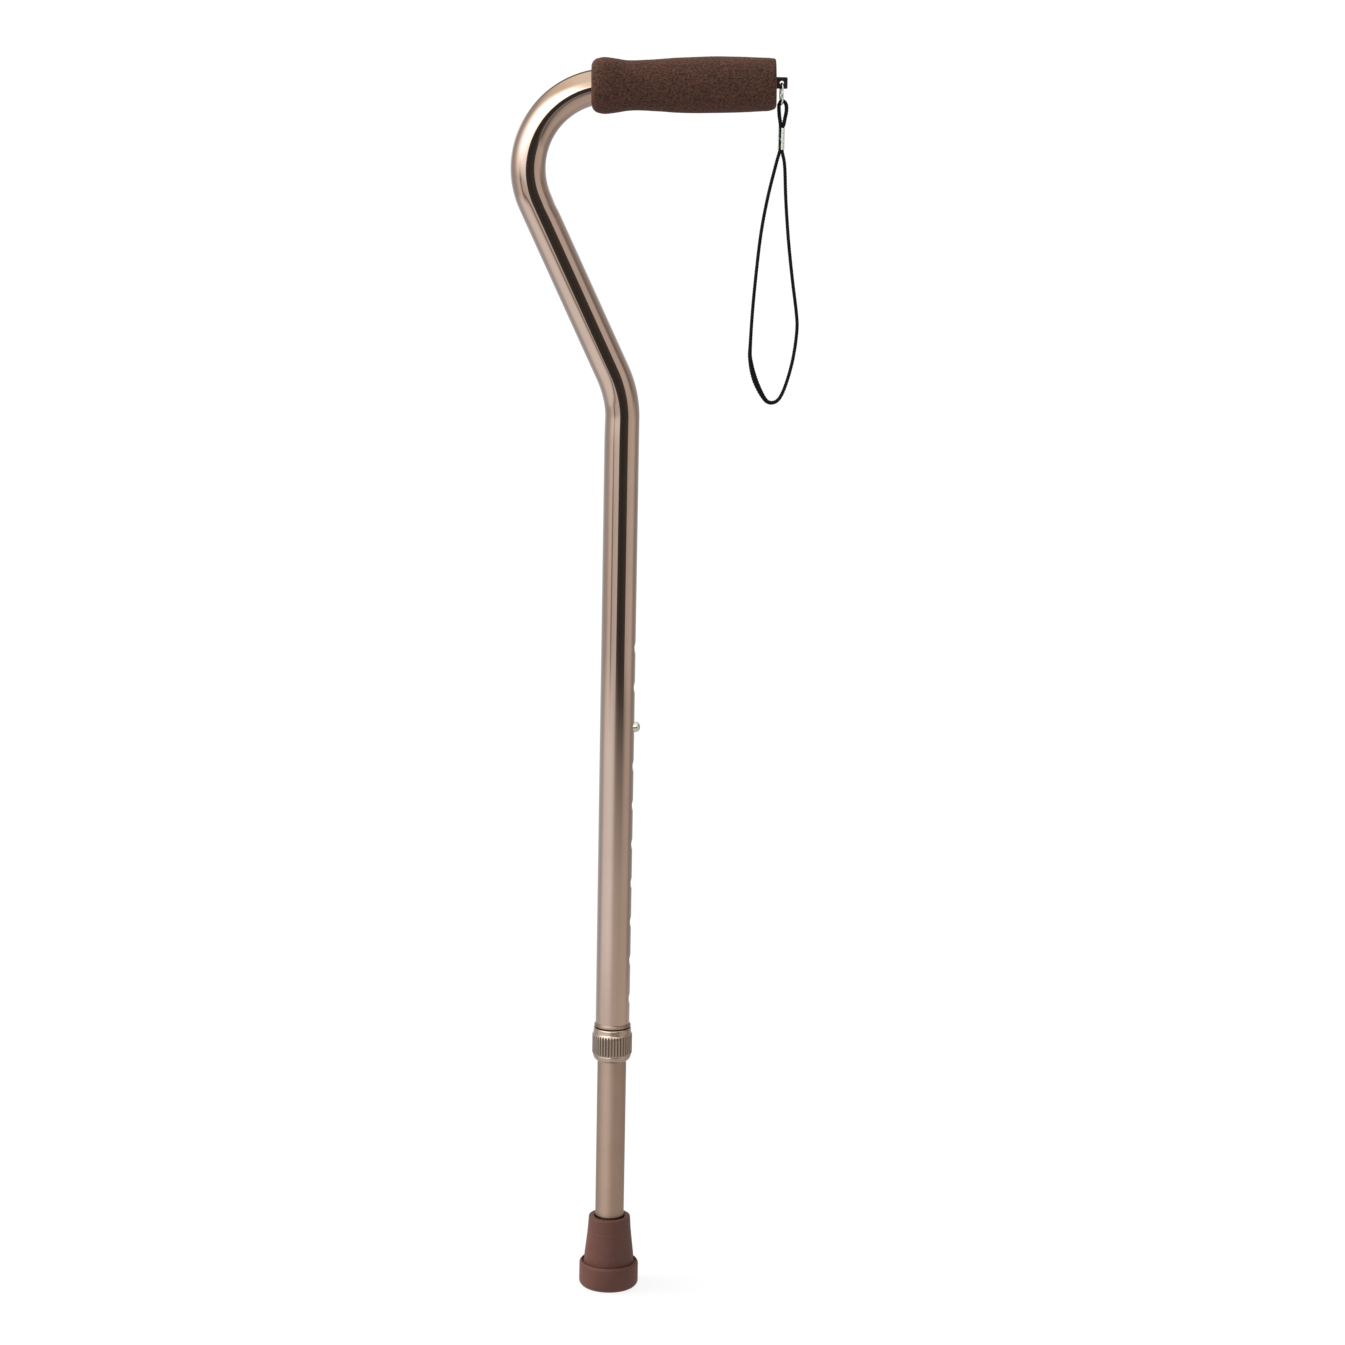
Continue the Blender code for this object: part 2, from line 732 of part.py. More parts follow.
LOWER_SECTION = pivot("lower_section", (0, 0, 0))
UPPER_SECTION = pivot("upper_section", (0, 0, OUTER_BOTTOM_Z), LOWER_SECTION)
COLLET_AXIS = pivot("collet_axis", (0, 0, COLLET_BOTTOM_Z), UPPER_SECTION)
NUT_AXIS = pivot("nut_axis", (0, 0, (NUT_TOP_Z + NUT_BOTTOM_Z) / 2), COLLET_AXIS)
BUTTON_AXIS = pivot("button_axis", (0, 0, BUTTON_Z), LOWER_SECTION)
RING_AXIS = pivot("ring_axis", RING_PIVOT, UPPER_SECTION)
STRAP_AXIS = pivot("strap_axis", RING_CENTRE, RING_AXIS)

build_handle_tube()
build_collar_ring()
build_foam_grip()
build_handle_plug()
build_strap_ring()
build_wrist_cord()
build_cord_ferrule()
build_lock_nut()
build_collet()
build_lower_tube()
build_snap_button()
build_button_spring()
build_rubber_tip()
build_tip_washer()
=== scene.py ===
"""Looks for the offset-handle walking cane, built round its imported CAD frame."""

import math

import bmesh
import bpy
from mathutils import Matrix, Vector, noise


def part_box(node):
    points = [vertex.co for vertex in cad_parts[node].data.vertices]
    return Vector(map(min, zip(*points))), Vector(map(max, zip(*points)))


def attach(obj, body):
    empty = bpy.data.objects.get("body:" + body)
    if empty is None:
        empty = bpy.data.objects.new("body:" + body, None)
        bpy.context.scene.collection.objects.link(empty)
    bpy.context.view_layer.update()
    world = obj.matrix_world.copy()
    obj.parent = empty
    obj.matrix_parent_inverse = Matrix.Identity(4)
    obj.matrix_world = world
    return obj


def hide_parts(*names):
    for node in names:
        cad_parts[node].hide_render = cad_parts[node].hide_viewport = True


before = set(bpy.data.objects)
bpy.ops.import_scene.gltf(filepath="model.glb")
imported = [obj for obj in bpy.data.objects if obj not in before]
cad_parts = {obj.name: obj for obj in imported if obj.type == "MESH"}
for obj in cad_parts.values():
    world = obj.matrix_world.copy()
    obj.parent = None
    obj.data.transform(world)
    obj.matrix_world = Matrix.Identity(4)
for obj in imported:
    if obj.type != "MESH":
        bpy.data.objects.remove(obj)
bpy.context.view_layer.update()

MM = 0.001
SCENE = bpy.context.scene
SHARP_ANGLE = math.radians(32.0)


def low(node):
    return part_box(node)[0]


def high(node):
    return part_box(node)[1]


# --- sizes and places ---

OUTER_RADIUS = 10.8 * MM
BORE_RADIUS = OUTER_RADIUS - 1.3 * MM
INNER_RADIUS = high("lower_tube")[1]
INNER_BORE_RADIUS = INNER_RADIUS - 1.2 * MM
OUTER_BOTTOM_Z = low("handle_tube")[2]
TUBE_COLUMNS = 96

LOWER_BEND_Z = 581.4 * MM
LOWER_BEND_RADIUS = 66.0 * MM
TOP_BEND_CENTRE = Vector((-9.6 * MM, 0, 719.8 * MM))
TOP_BEND_RADIUS = 50.2 * MM
HANDLE_RISE = math.radians(1.5)
HANDLE_END_X = 88.0 * MM

HOLE_RADIUS = 3.7 * MM
HOLE_PITCH = 25.4 * MM
HOLE_COUNT = 10
HOLE_TOP_Z = 421.4 * MM
BUTTON_Z = HOLE_TOP_Z - 2 * HOLE_PITCH

RING_HOLE_X = 93.8 * MM
RING_HOLE_Z = 773.6 * MM
RING_HOLE_RADIUS = 1.25 * MM

# The wrist cord's centreline, as (x, z) in metres: up out of the ferrule, over the ring, back down
# through the ferrule, round the hanging loop and up into the ferrule again.
CORD_ROUTE = [
    (0.0934, 0.7403),
    (0.0934, 0.7440),
    (0.0934, 0.7474),
    (0.0926, 0.7524),
    (0.0921, 0.7570),
    (0.0922, 0.7607),
    (0.0942, 0.7628),
    (0.0963, 0.7606),
    (0.0966, 0.7566),
    (0.0958, 0.7520),
    (0.0951, 0.7474),
    (0.0951, 0.7440),
    (0.0951, 0.7350),
    (0.0952, 0.7315),
    (0.0968, 0.7230),
    (0.0980, 0.7025),
    (0.1002, 0.6780),
    (0.1032, 0.6540),
    (0.1062, 0.6330),
    (0.1067, 0.6220),
    (0.1048, 0.6055),
    (0.1010, 0.5900),
    (0.0969, 0.5804),
    (0.0922, 0.5776),
    (0.0876, 0.5802),
    (0.0817, 0.5915),
    (0.0785, 0.6040),
    (0.0783, 0.6140),
    (0.0796, 0.6410),
    (0.0828, 0.6780),
    (0.0866, 0.7025),
    (0.0914, 0.7240),
    (0.0933, 0.7315),
    (0.0934, 0.7350),
    (0.0934, 0.7393),
]

# The braid: its width, how much narrower the ferrule presses it, how much fuller the small loop
# is and how far that loop stands off the foam, and its strands, their grooves and turns a metre.
BRAID_WIDTH = 2.25 * MM
BRAID_IN_FERRULE = 0.78
LOOP_FULLNESS = 1.12
LOOP_NUDGE = 0.4 * MM
BRAID_STRANDS = 3
BRAID_GROOVE = 0.13
BRAID_TURNS = 190.0

# Past the lowest point the cord lies flat: where that is, as shares of its length, and how much
# wider and thinner it gets there.
CORD_FLAT_AT = 0.608
CORD_FLAT_REACH = 0.038
CORD_FLAT_WIDER = 0.7
CORD_FLAT_THINNER = 0.2

# Dents that the bending tools left: a place on the centreline, the side that is pressed in,
# the dent's length, its spread round the tube and its depth.
DENTS = [
    (Vector((0, 0, 571.0 * MM)), Vector((-1, -0.35, 0)), 11.0 * MM, math.radians(60), 0.32 * MM),
    (Vector((-0.053, 0, 0.693)), Vector((1, -0.3, 0.3)), 4.0 * MM, math.radians(40), 0.40 * MM),
]


# --- camera ---


def make_camera():
    """The photographer stands in front of the cane's side and a little above it."""
    data = bpy.data.cameras.new("camera")
    data.sensor_width = 36.0
    data.lens = 105.02
    data.clip_end = 100.0
    camera = bpy.data.objects.new("camera", data)
    lean = Matrix.Rotation(math.radians(-1.0568), 4, "Y")
    tilt = Matrix.Rotation(math.radians(90.0 - 12.04), 4, "X")
    place = Matrix.Translation((0.041634, -2.4068, 0.91866))
    camera.matrix_world = lean @ place @ tilt
    SCENE.collection.objects.link(camera)
    SCENE.camera = camera


# --- material nodes ---


def add(tree, kind, inputs=None, **settings):
    """Adds a shader node; an input is a value or another node's socket."""
    new = tree.nodes.new("ShaderNode" + kind)
    for name, value in settings.items():
        setattr(new, name, value)
    for name, value in (inputs or {}).items():
        if isinstance(value, bpy.types.NodeSocket):
            tree.links.new(value, new.inputs[name])
        else:
            new.inputs[name].default_value = value
    return new


def math_node(tree, operation, first, second=0.0, third=0.0):
    node = add(tree, "Math", {0: first, 1: second, 2: third}, operation=operation)
    return node.outputs[0]


def product(tree, first, *others):
    """Multiplies sockets and numbers."""
    for other in others:
        first = math_node(tree, "MULTIPLY", first, other)
    return first


def smooth_step(tree, value, start, end):
    """0 below the start and 1 past the end, with a soft rise between."""
    return add(
        tree,
        "MapRange",
        {"Value": value, "From Min": start, "From Max": end},
        interpolation_type="SMOOTHSTEP",
    ).outputs["Result"]


def soft_band(tree, value, rise, fall):
    """1 between two soft edges; each edge is the (start, end) of a smooth step."""
    return product(tree, smooth_step(tree, value, *rise), smooth_step(tree, value, *fall))


def azimuth_of(tree, vector):
    """The angle round the vertical axis as a share of a turn; 0.5 is towards -Y."""
    parts = add(tree, "SeparateXYZ", {"Vector": vector}).outputs
    towards = math_node(tree, "MULTIPLY", parts["Y"], -1.0)
    azimuth = math_node(tree, "ARCTAN2", parts["X"], towards)
    return math_node(tree, "MULTIPLY_ADD", azimuth, 1 / math.tau, 0.5)


def turn_share(degrees):
    """An angle round from the camera's side, in azimuth_of's measure."""
    return degrees / 360.0 + 0.5


def ramp(tree, factor, stops):
    """A colour ramp; each stop is (position, colour)."""
    node = add(tree, "ValToRGB", {"Fac": factor})
    elements = node.color_ramp.elements
    while len(elements) < len(stops):
        elements.new(1.0)
    for element, (position, shade) in zip(elements, stops):
        element.position = position
        element.color = (*shade, 1.0)
    return node.outputs["Color"]


def mix_colors(tree, factor, first, second, blend="MIX"):
    """Mixes two colours, each a tuple or a socket."""
    node = add(tree, "Mix", data_type="RGBA", blend_type=blend)
    for index, value in ((0, factor), (6, first), (7, second)):
        if isinstance(value, bpy.types.NodeSocket):
            tree.links.new(value, node.inputs[index])
        elif index:
            node.inputs[index].default_value = (*value, 1.0)
        else:
            node.inputs[index].default_value = value
    return node.outputs[2]


def mix_shaders(tree, factor, first, second):
    return add(tree, "MixShader", {0: factor, 1: first.outputs[0], 2: second.outputs[0]})


def new_material(name):
    material = bpy.data.materials.new(name)
    material.use_nodes = True
    tree = material.node_tree
    return material, tree, tree.nodes["Principled BSDF"]


def object_noise(tree, scale, detail=3.0, roughness=0.55, stretch=(1.0, 1.0, 1.0)):
    """Noise in the object's own space, in cycles per metre."""
    place = add(tree, "TexCoord").outputs["Object"]
    mapping = add(tree, "Mapping", {"Vector": place, "Scale": stretch})
    where = mapping.outputs["Vector"]
    inputs = {"Vector": where, "Scale": scale, "Detail": detail, "Roughness": roughness}
    return add(tree, "TexNoise", inputs).outputs["Fac"]


# Each metal's lighter and darker tone, its roughness and how far that varies, and the strength of
# its drawn lines.
METALS = {
    "bronze_polished": ((0.46, 0.327, 0.261), (0.44, 0.313, 0.249), 0.06, 0.01, 0.02),
    "bronze_nut": ((0.42, 0.312, 0.243), (0.38, 0.280, 0.216), 0.16, 0.03, 0.05),
    "bronze_satin": ((0.355, 0.243, 0.183), (0.335, 0.227, 0.169), 0.46, 0.04, 0.2),
    "bronze_collar": ((0.28, 0.193, 0.146), (0.26, 0.178, 0.133), 0.37, 0.04, 0.2),
    "nickel": ((0.74, 0.71, 0.66), (0.66, 0.64, 0.60), 0.18, 0.04, 0.1),
    "button_steel": ((0.62, 0.58, 0.52), (0.56, 0.52, 0.47), 0.05, 0.01, 0.02),
    "dull_nickel": ((0.74, 0.75, 0.65), (0.66, 0.67, 0.58), 0.5, 0.05, 0.05),
    "spring_steel": ((0.50, 0.50, 0.52), (0.40, 0.40, 0.42), 0.35, 0.06, 0.3),
}


def vary_roughness(tree, shader, factor, middle, spread):
    """Drives a shader's roughness between middle - spread and middle + spread."""
    limits = {"Value": factor, "To Min": middle - spread, "To Max": middle + spread}
    gloss = add(tree, "MapRange", limits)
    tree.links.new(gloss.outputs["Result"], shader.inputs["Roughness"])


def add_bump(tree, shader, height, strength, distance):
    """Gives a shader's surface the relief of a height socket."""
    bump = add(tree, "Bump", {"Height": height, "Strength": strength, "Distance": distance})
    tree.links.new(bump.outputs["Normal"], shader.inputs["Normal"])


def metal(name):
    """Drawn metal: faint cloudy tone, fine lines along the tube and a speckle in its gloss."""
    light, dark, roughness, spread, line_bump = METALS[name]
    material, tree, shader = new_material(name)
    cloud = object_noise(tree, scale=45.0, detail=4.0)
    shade = ramp(tree, cloud, [(0.35, dark), (0.65, light)])
    tree.links.new(shade, shader.inputs["Base Color"])
    shader.inputs["Metallic"].default_value = 1.0
    speckle = object_noise(tree, scale=900.0, detail=2.0)
    vary_roughness(tree, shader, speckle, roughness, spread)
    lines = object_noise(tree, 2600.0, detail=2.0, roughness=0.6, stretch=(1.0, 1.0, 0.012))
    add_bump(tree, shader, lines, strength=line_bump, distance=0.02 * MM)
    return material


def foam():
    """Closed-cell foam: a matte skin full of fine cells, with redder and greyer patches."""
    material, tree, shader = new_material("brown_foam")
    patches = object_noise(tree, 120.0, detail=5.0, roughness=0.6, stretch=(0.45, 1.0, 1.0))
    cells = object_noise(tree, 1100.0, detail=3.0, roughness=0.7, stretch=(0.7, 1.0, 1.0))
    tone = ramp(tree, patches, [(0.32, (0.078, 0.040, 0.0285)), (0.68, (0.097, 0.042, 0.0295))])
    pores = ramp(tree, cells, [(0.38, (0.34, 0.34, 0.34)), (0.60, (1.34, 1.34, 1.34))])
    shade = mix_colors(tree, 1.0, tone, pores, "MULTIPLY")
    tree.links.new(shade, shader.inputs["Base Color"])
    shader.inputs["Roughness"].default_value = 0.95
    shader.inputs["Specular IOR Level"].default_value = 0.18
    shader.inputs["Sheen Weight"].default_value = 0.05
    shader.inputs["Sheen Roughness"].default_value = 0.5
    shader.inputs["Sheen Tint"].default_value = (1.0, 0.72, 0.64, 1.0)
    add_bump(tree, shader, cells, strength=0.55, distance=0.25 * MM)
    return material


# Each moulded material's lighter and darker tone, its roughness, its grain's scale and strength,
# and its shine.
MOULDINGS = {
    "brown_rubber": ((0.116, 0.045, 0.032), (0.094, 0.036, 0.026), 0.58, 1400.0, 0.35, 0.3),
    "dark_plastic": ((0.036, 0.019, 0.015), (0.024, 0.014, 0.011), 0.5, 1800.0, 0.2, 0.15),
    "nylon": ((0.64, 0.62, 0.57), (0.56, 0.54, 0.49), 0.5, 1200.0, 0.2, 0.4),
}


def moulded(name):
    """Moulded rubber or plastic: a slightly uneven tone and a fine mould grain."""
    light, dark, roughness, grain_scale, grain_bump, shine = MOULDINGS[name]
    material, tree, shader = new_material(name)
    cloud = object_noise(tree, scale=110.0, detail=5.0)
    shade = ramp(tree, cloud, [(0.30, dark), (0.70, light)])
    tree.links.new(shade, shader.inputs["Base Color"])
    grain = object_noise(tree, grain_scale, detail=3.0)
    vary_roughness(tree, shader, cloud, roughness, spread=0.08)
    shader.inputs["Specular IOR Level"].default_value = shine
    add_bump(tree, shader, grain, strength=grain_bump, distance=0.05 * MM)
    return material


def cord_fibre():
    """Waxed black cord: fine fibres that catch a little light."""
    material, tree, shader = new_material("black_cord")
    fibres = object_noise(tree, scale=5200.0, detail=2.0)
    shade = ramp(tree, fibres, [(0.30, (0.002, 0.002, 0.002)), (0.75, (0.010, 0.0095, 0.010))])
    tree.links.new(shade, shader.inputs["Base Color"])
    shader.inputs["Roughness"].default_value = 0.6
    shader.inputs["Specular IOR Level"].default_value = 0.08
    add_bump(tree, shader, fibres, strength=0.6, distance=0.05 * MM)
    return material


# The lock nut, in mm: its flutes and its narrow face under the collar.
FLUTES = 40
FLUTE_LOW, FLUTE_HIGH = 157.3, 169.4
NUT_EDGE = 174.15

# Painted shade and a painted dark reflection: their colour, how the painted shade follows the
# flutes (swing and middle), and the painted reflection ring above the tip, in mm, with its
# strength.
PAINTED_DARK_COLOUR = (0.03, 0.02, 0.015)
FLUTE_SHADE = (0.32, 0.45)
FOOT_REFLECTION = (48.5, 47.7)
FOOT_REFLECTION_STRENGTH = 0.9


def nut_painted_shade(tree, place, height):
    """Painted shade in the nut's flutes and on its narrow face under the collar."""
    turns = product(tree, azimuth_of(tree, place), math.tau * FLUTES)
    cut = math_node(tree, "MULTIPLY_ADD", math_node(tree, "COSINE", turns), *FLUTE_SHADE)
    low_edge = (FLUTE_LOW - 0.3, FLUTE_LOW + 0.3)
    high_edge = (FLUTE_HIGH + 0.3, FLUTE_HIGH - 0.3)
    fluted = product(tree, cut, soft_band(tree, height, low_edge, high_edge))
    face = smooth_step(tree, height, NUT_EDGE - 0.12, NUT_EDGE - 0.02)
    return math_node(tree, "MAXIMUM", fluted, face)


def foot_painted_reflection(tree, place, height):
    """A painted dark reflection of the rubber rim: a dark ring on the lower tube, just above the
    tip.
    """
    return product(tree, smooth_step(tree, height, *FOOT_REFLECTION), FOOT_REFLECTION_STRENGTH)


def paint_dark(material, dark_at):
    """Paints shade onto a metal where the mask function (tree, place, height in millimetres) says.
    """
    tree = material.node_tree
    link = next(link for link in tree.links if link.to_socket.name == "Base Color")
    clean, socket = link.from_socket, link.to_socket
    place = add(tree, "TexCoord").outputs["Object"]
    rise = add(tree, "SeparateXYZ", {"Vector": place}).outputs["Z"]
    dark_share = dark_at(tree, place, product(tree, rise, 1 / MM))
    tree.links.new(mix_colors(tree, dark_share, clean, PAINTED_DARK_COLOUR), socket)
    return material


# --- mesh building ---


def surface(name, rows, joined=False):
    """A quad surface through closed rows of points; joined links the last row to the first."""
    count = len(rows[0])
    faces = []
    for row in range(len(rows) if joined else len(rows) - 1):
        here, after = row * count, (row + 1) % len(rows) * count
        for column in range(count):
            side = (column + 1) % count
            faces.append((here + column, here + side, after + side, after + column))
    mesh = bpy.data.meshes.new(name)
    mesh.from_pydata([point for row in rows for point in row], [], faces)
    bm = bmesh.new()
    bm.from_mesh(mesh)
    return finish_mesh(name, bm, mesh)


def finish_mesh(name, bm, mesh=None):
    """Welds a mesh, turns its faces out, shades it and links its object."""
    mesh = mesh or bpy.data.meshes.new(name)
    bmesh.ops.remove_doubles(bm, verts=bm.verts, dist=1e-7)
    bmesh.ops.dissolve_degenerate(bm, edges=bm.edges, dist=1e-8)
    bmesh.ops.recalc_face_normals(bm, faces=bm.faces)
    bm.to_mesh(mesh)
    bm.free()
    mesh.shade_smooth()
    mesh.set_sharp_from_angle(angle=SHARP_ANGLE)
    obj = bpy.data.objects.new(name, mesh)
    SCENE.collection.objects.link(obj)
    return obj


def arc(centre, radius, start_degrees, end_degrees, steps):
    """Points along an arc in a plane, as (across, up) pairs."""
    angles = [
        math.radians(start_degrees + (end_degrees - start_degrees) * i / steps)
        for i in range(steps + 1)
    ]
    return [(centre[0] + radius * math.cos(a), centre[1] + radius * math.sin(a)) for a in angles]


def rounded(corners, steps=4):
    """A profile whose corners are rounded. Each corner is (radius, height, rounding) in mm."""
    points = []
    for index, (across, up, rounding) in enumerate(corners):
        corner = Vector((across, up))
        if rounding == 0 or index in (0, len(corners) - 1):
            points.append((across, up))
            continue
        before = Vector(corners[index - 1][:2]) - corner
        after = Vector(corners[(index + 1) % len(corners)][:2]) - corner
        reach = min(rounding, before.length * 0.49, after.length * 0.49)
        start = corner + before.normalized() * reach
        end = corner + after.normalized() * reach
        for step in range(steps + 1):
            t = step / steps
            point = start * (1 - t) ** 2 + corner * 2 * t * (1 - t) + end * t * t
            points.append(tuple(point))
    return points


def turned(name, profile_mm, columns, ring=True, place=None, shape=None):
    """A solid of revolution about Z through (radius, z) points, in millimetres.

    A ring's profile closes on itself. place, if given, is a matrix that moves the solid, and
    shape turns an (angle, radius, z) into a radius.
    """
    rows = []
    for radius, z in profile_mm:
        row = []
        for column in range(columns):
            angle = math.tau * column / columns
            reach = shape(angle, radius, z) if shape else radius
            point = Vector((reach * math.cos(angle), reach * math.sin(angle), z)) * MM
            row.append(place @ point if place else point)
        rows.append(row)
    return surface(name, rows, joined=ring)


def smooth_route(route, count):
    """Evenly spaced points on the Catmull-Rom curve through the route's points."""
    knots = [2 * route[0] - route[1], *route, 2 * route[-1] - route[-2]]
    fine = []
    steps = 40
    for before, start, end, after in zip(knots, knots[1:], knots[2:], knots[3:]):
        for step in range(steps):
            t = step / steps
            square = (2 * before - 5 * start + 4 * end - after) * t**2
            cube = (3 * start - before - 3 * end + after) * t**3
            fine.append(0.5 * (2 * start + (end - before) * t + square + cube))
    fine.append(route[-1])
    reached = [0.0]
    for first, second in zip(fine, fine[1:]):
        reached.append(reached[-1] + (second - first).length)
    points = []
    index = 0
    for step in range(count):
        target = reached[-1] * step / (count - 1)
        while index < len(fine) - 2 and reached[index + 1] < target:
            index += 1
        span = reached[index + 1] - reached[index]
        points.append(fine[index].lerp(fine[index + 1], (target - reached[index]) / span))
    return points


def united(first, second):
    """Joins the second closed mesh to the first and removes the second."""
    union = first.modifiers.new("union", "BOOLEAN")
    union.operation = "UNION"
    union.object = second
    graph = bpy.context.evaluated_depsgraph_get()
    mesh = bpy.data.meshes.new_from_object(first.evaluated_get(graph))
    first.modifiers.clear()
    first.data = mesh
    mesh.shade_smooth()
    mesh.set_sharp_from_angle(angle=SHARP_ANGLE)
    bpy.data.objects.remove(second)
    return first


def dress(obj, material, body, slot, *nodes):
    """Gives a piece its material, the body that it rides on and the CAD nodes it stands for."""
    obj.data.materials.clear()
    obj.data.materials.append(material)
    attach(obj, body)
    if nodes:
        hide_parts(*nodes)
    return obj


# --- the bent tube ---


def slant_angle():
    """How far the slant leans back: it leaves the lower bend's corner and touches the top bend."""
    reach = TOP_BEND_CENTRE - Vector((0, 0, LOWER_BEND_Z))
    return math.asin(TOP_BEND_RADIUS / reach.length) - math.atan2(reach.x, reach.z)


def handle_frame():
    """A frame whose +Z runs along the handle to the front, from the top bend's end."""
    turn = Matrix.Rotation(math.pi / 2 - HANDLE_RISE, 4, "Y")
    offset = Vector((-math.sin(HANDLE_RISE), 0, math.cos(HANDLE_RISE))) * TOP_BEND_RADIUS
    return Matrix.Translation(TOP_BEND_CENTRE + offset) @ turn


def bend_stations():
    """(centre, outward direction) of each ring along the bent part."""
    slant = slant_angle()
    tangent = LOWER_BEND_RADIUS * math.tan(slant / 2)
    centre = Vector((-LOWER_BEND_RADIUS, 0, LOWER_BEND_Z - tangent))
    straight_steps, lower_steps, top_steps = 28, 32, 72
    below = [centre.z - 1.0 * MM * step for step in range(1, straight_steps + 1)]
    stations = [(Vector((0, 0, z)), Vector((1, 0, 0))) for z in reversed(below)]
    for step in range(lower_steps + 1):
        angle = slant * step / lower_steps
        out = Vector((math.cos(angle), 0, math.sin(angle)))
        stations.append((centre + out * LOWER_BEND_RADIUS, out))
    foot = stations[-1][0]
    start = math.pi + slant
    end = math.pi / 2 + HANDLE_RISE
    head = TOP_BEND_CENTRE + Vector((math.cos(start), 0, math.sin(start))) * TOP_BEND_RADIUS
    dented_end = (0.8, 0.88, 0.91, 0.93, 0.95, 0.96, 0.97, 0.98, 0.99)
    for share in dented_end:
        stations.append((foot.lerp(head, share), stations[-1][1]))
    for step in range(top_steps + 1):
        angle = start + (end - start) * step / top_steps
        out = Vector((math.cos(angle), 0, math.sin(angle)))
        stations.append((TOP_BEND_CENTRE + out * TOP_BEND_RADIUS, -out))
    front = handle_frame()
    length = (HANDLE_END_X - front.translation.x) / math.cos(HANDLE_RISE)
    ending = front @ Vector((0, 0, length))
    stations.append((ending, stations[-1][1]))
    return stations


def dent_depth(centre, normal):
    """How far the wall is pressed in at a point of the tube."""
    depth = 0.0
    for place, side, length, spread, most in DENTS:
        along = (centre - place).length / length
        if along < 3:
            depth += most * math.exp(-(along**2) - (normal.angle(side) / spread) ** 2)
    return depth


def ring_points(centre, out, radius, dented=False):
    """A ring round the tube; column 0 lies on the out side."""
    points = []
    for column in range(TUBE_COLUMNS):
        angle = math.tau * column / TUBE_COLUMNS
        normal = out * math.cos(angle) + Vector((0, math.sin(angle), 0))
        reach = radius - dent_depth(centre, normal) if dented else radius
        points.append(centre + normal * reach)
    return points


def add_ring(bm, points):
    return [bm.verts.new(point) for point in points]


def shaft_ring(bm, z, radius):
    """Adds a ring round the straight shaft."""
    return add_ring(bm, ring_points(Vector((0, 0, z)), Vector((1, 0, 0)), radius))


def bridge(bm, first, second):
    """Quads between two closed loops of the same count."""
    count = len(first)
    for index in range(count):
        after = (index + 1) % count
        bm.faces.new((first[index], first[after], second[after], second[index]))


def holed_band(bm, radius, below, above, hole_z, half_columns, rim_radius):
    """Fills the band between two rings, but for a round hole at column 0. Returns its edge."""
    columns = TUBE_COLUMNS
    bottom_z, top_z = below[0].co.z, above[0].co.z
    rows = 2 * half_columns

    def wall(angle, z):
        return Vector((radius * math.cos(angle), radius * math.sin(angle), z))

    def side(sign):
        angle = sign * half_columns * math.tau / columns
        heights = [bottom_z + (top_z - bottom_z) * step / rows for step in range(1, rows)]
        return [bm.verts.new(wall(angle, z)) for z in heights]

    right, left = side(1), side(-1)
    for column in range(half_columns, columns - half_columns):
        after = (column + 1) % columns
        face = [below[column], below[after], above[after], above[column]]
        if column == half_columns:
            face += reversed(right)
        if column == columns - half_columns - 1:
            face[2:2] = left
        bm.faces.new(face)
    across = list(range(-half_columns, half_columns + 1))
    edge = [below[column % columns] for column in across] + right
    edge += [above[column % columns] for column in reversed(across)] + list(reversed(left))

    def flat(vert):
        return Vector((math.atan2(vert.co.y, vert.co.x), vert.co.z))

    loop = edge
    for share in (0.45, 0.8, 1.0):
        inner = []
        for vert in edge:
            place = flat(vert)
            heading = math.atan2(vert.co.z - hole_z, vert.co.y)
            rim_y = rim_radius * math.cos(heading)
            rim = Vector((math.asin(rim_y / radius), hole_z + rim_radius * math.sin(heading)))
            angle, z = place.lerp(rim, share)
            inner.append(bm.verts.new(wall(angle, z)))
        bridge(bm, loop, inner)
        loop = inner
    return loop


def holed_shaft(bm, radius, z_values, holes, rim_radius, half_columns):
    """A straight stretch of tube wall with round holes on its +X side. Returns (rings, rims)."""
    step = radius * math.tau / TUBE_COLUMNS * half_columns
    rings, rims = [], []
    heights = sorted(
        {round(z, 7) for z in z_values}
        | {round(z + side * step, 7) for z in holes for side in (-1, 1)}
    )
    for z in heights:
        rings.append(shaft_ring(bm, z, radius))
    for below, above in zip(rings, rings[1:]):
        middle = (below[0].co.z + above[0].co.z) / 2
        found = [z for z in holes if abs(z - middle) < 1e-4]
        if found:
            rims.append(holed_band(bm, radius, below, above, found[0], half_columns, rim_radius))
        else:
            bridge(bm, below, above)
    return rings, rims


def line_hole(bm, outer_rim, inner_rim, hole_z, lip):
    """Rounds a hole's outer edge and closes its wall down to the bore."""
    loop = outer_rim
    for turn in (45.0, 90.0):
        reach = HOLE_RADIUS + lip * (1 - math.sin(math.radians(turn)))
        depth = lip * (1 - math.cos(math.radians(turn)))
        inner = []
        for vert in outer_rim:
            heading = math.atan2(vert.co.z - hole_z, vert.co.y)
            y = reach * math.cos(heading)
            z = hole_z + reach * math.sin(heading)
            inner.append(bm.verts.new((vert.co.x - depth, y, z)))
        bridge(bm, loop, inner)
        loop = inner
    bridge(bm, loop, inner_rim)


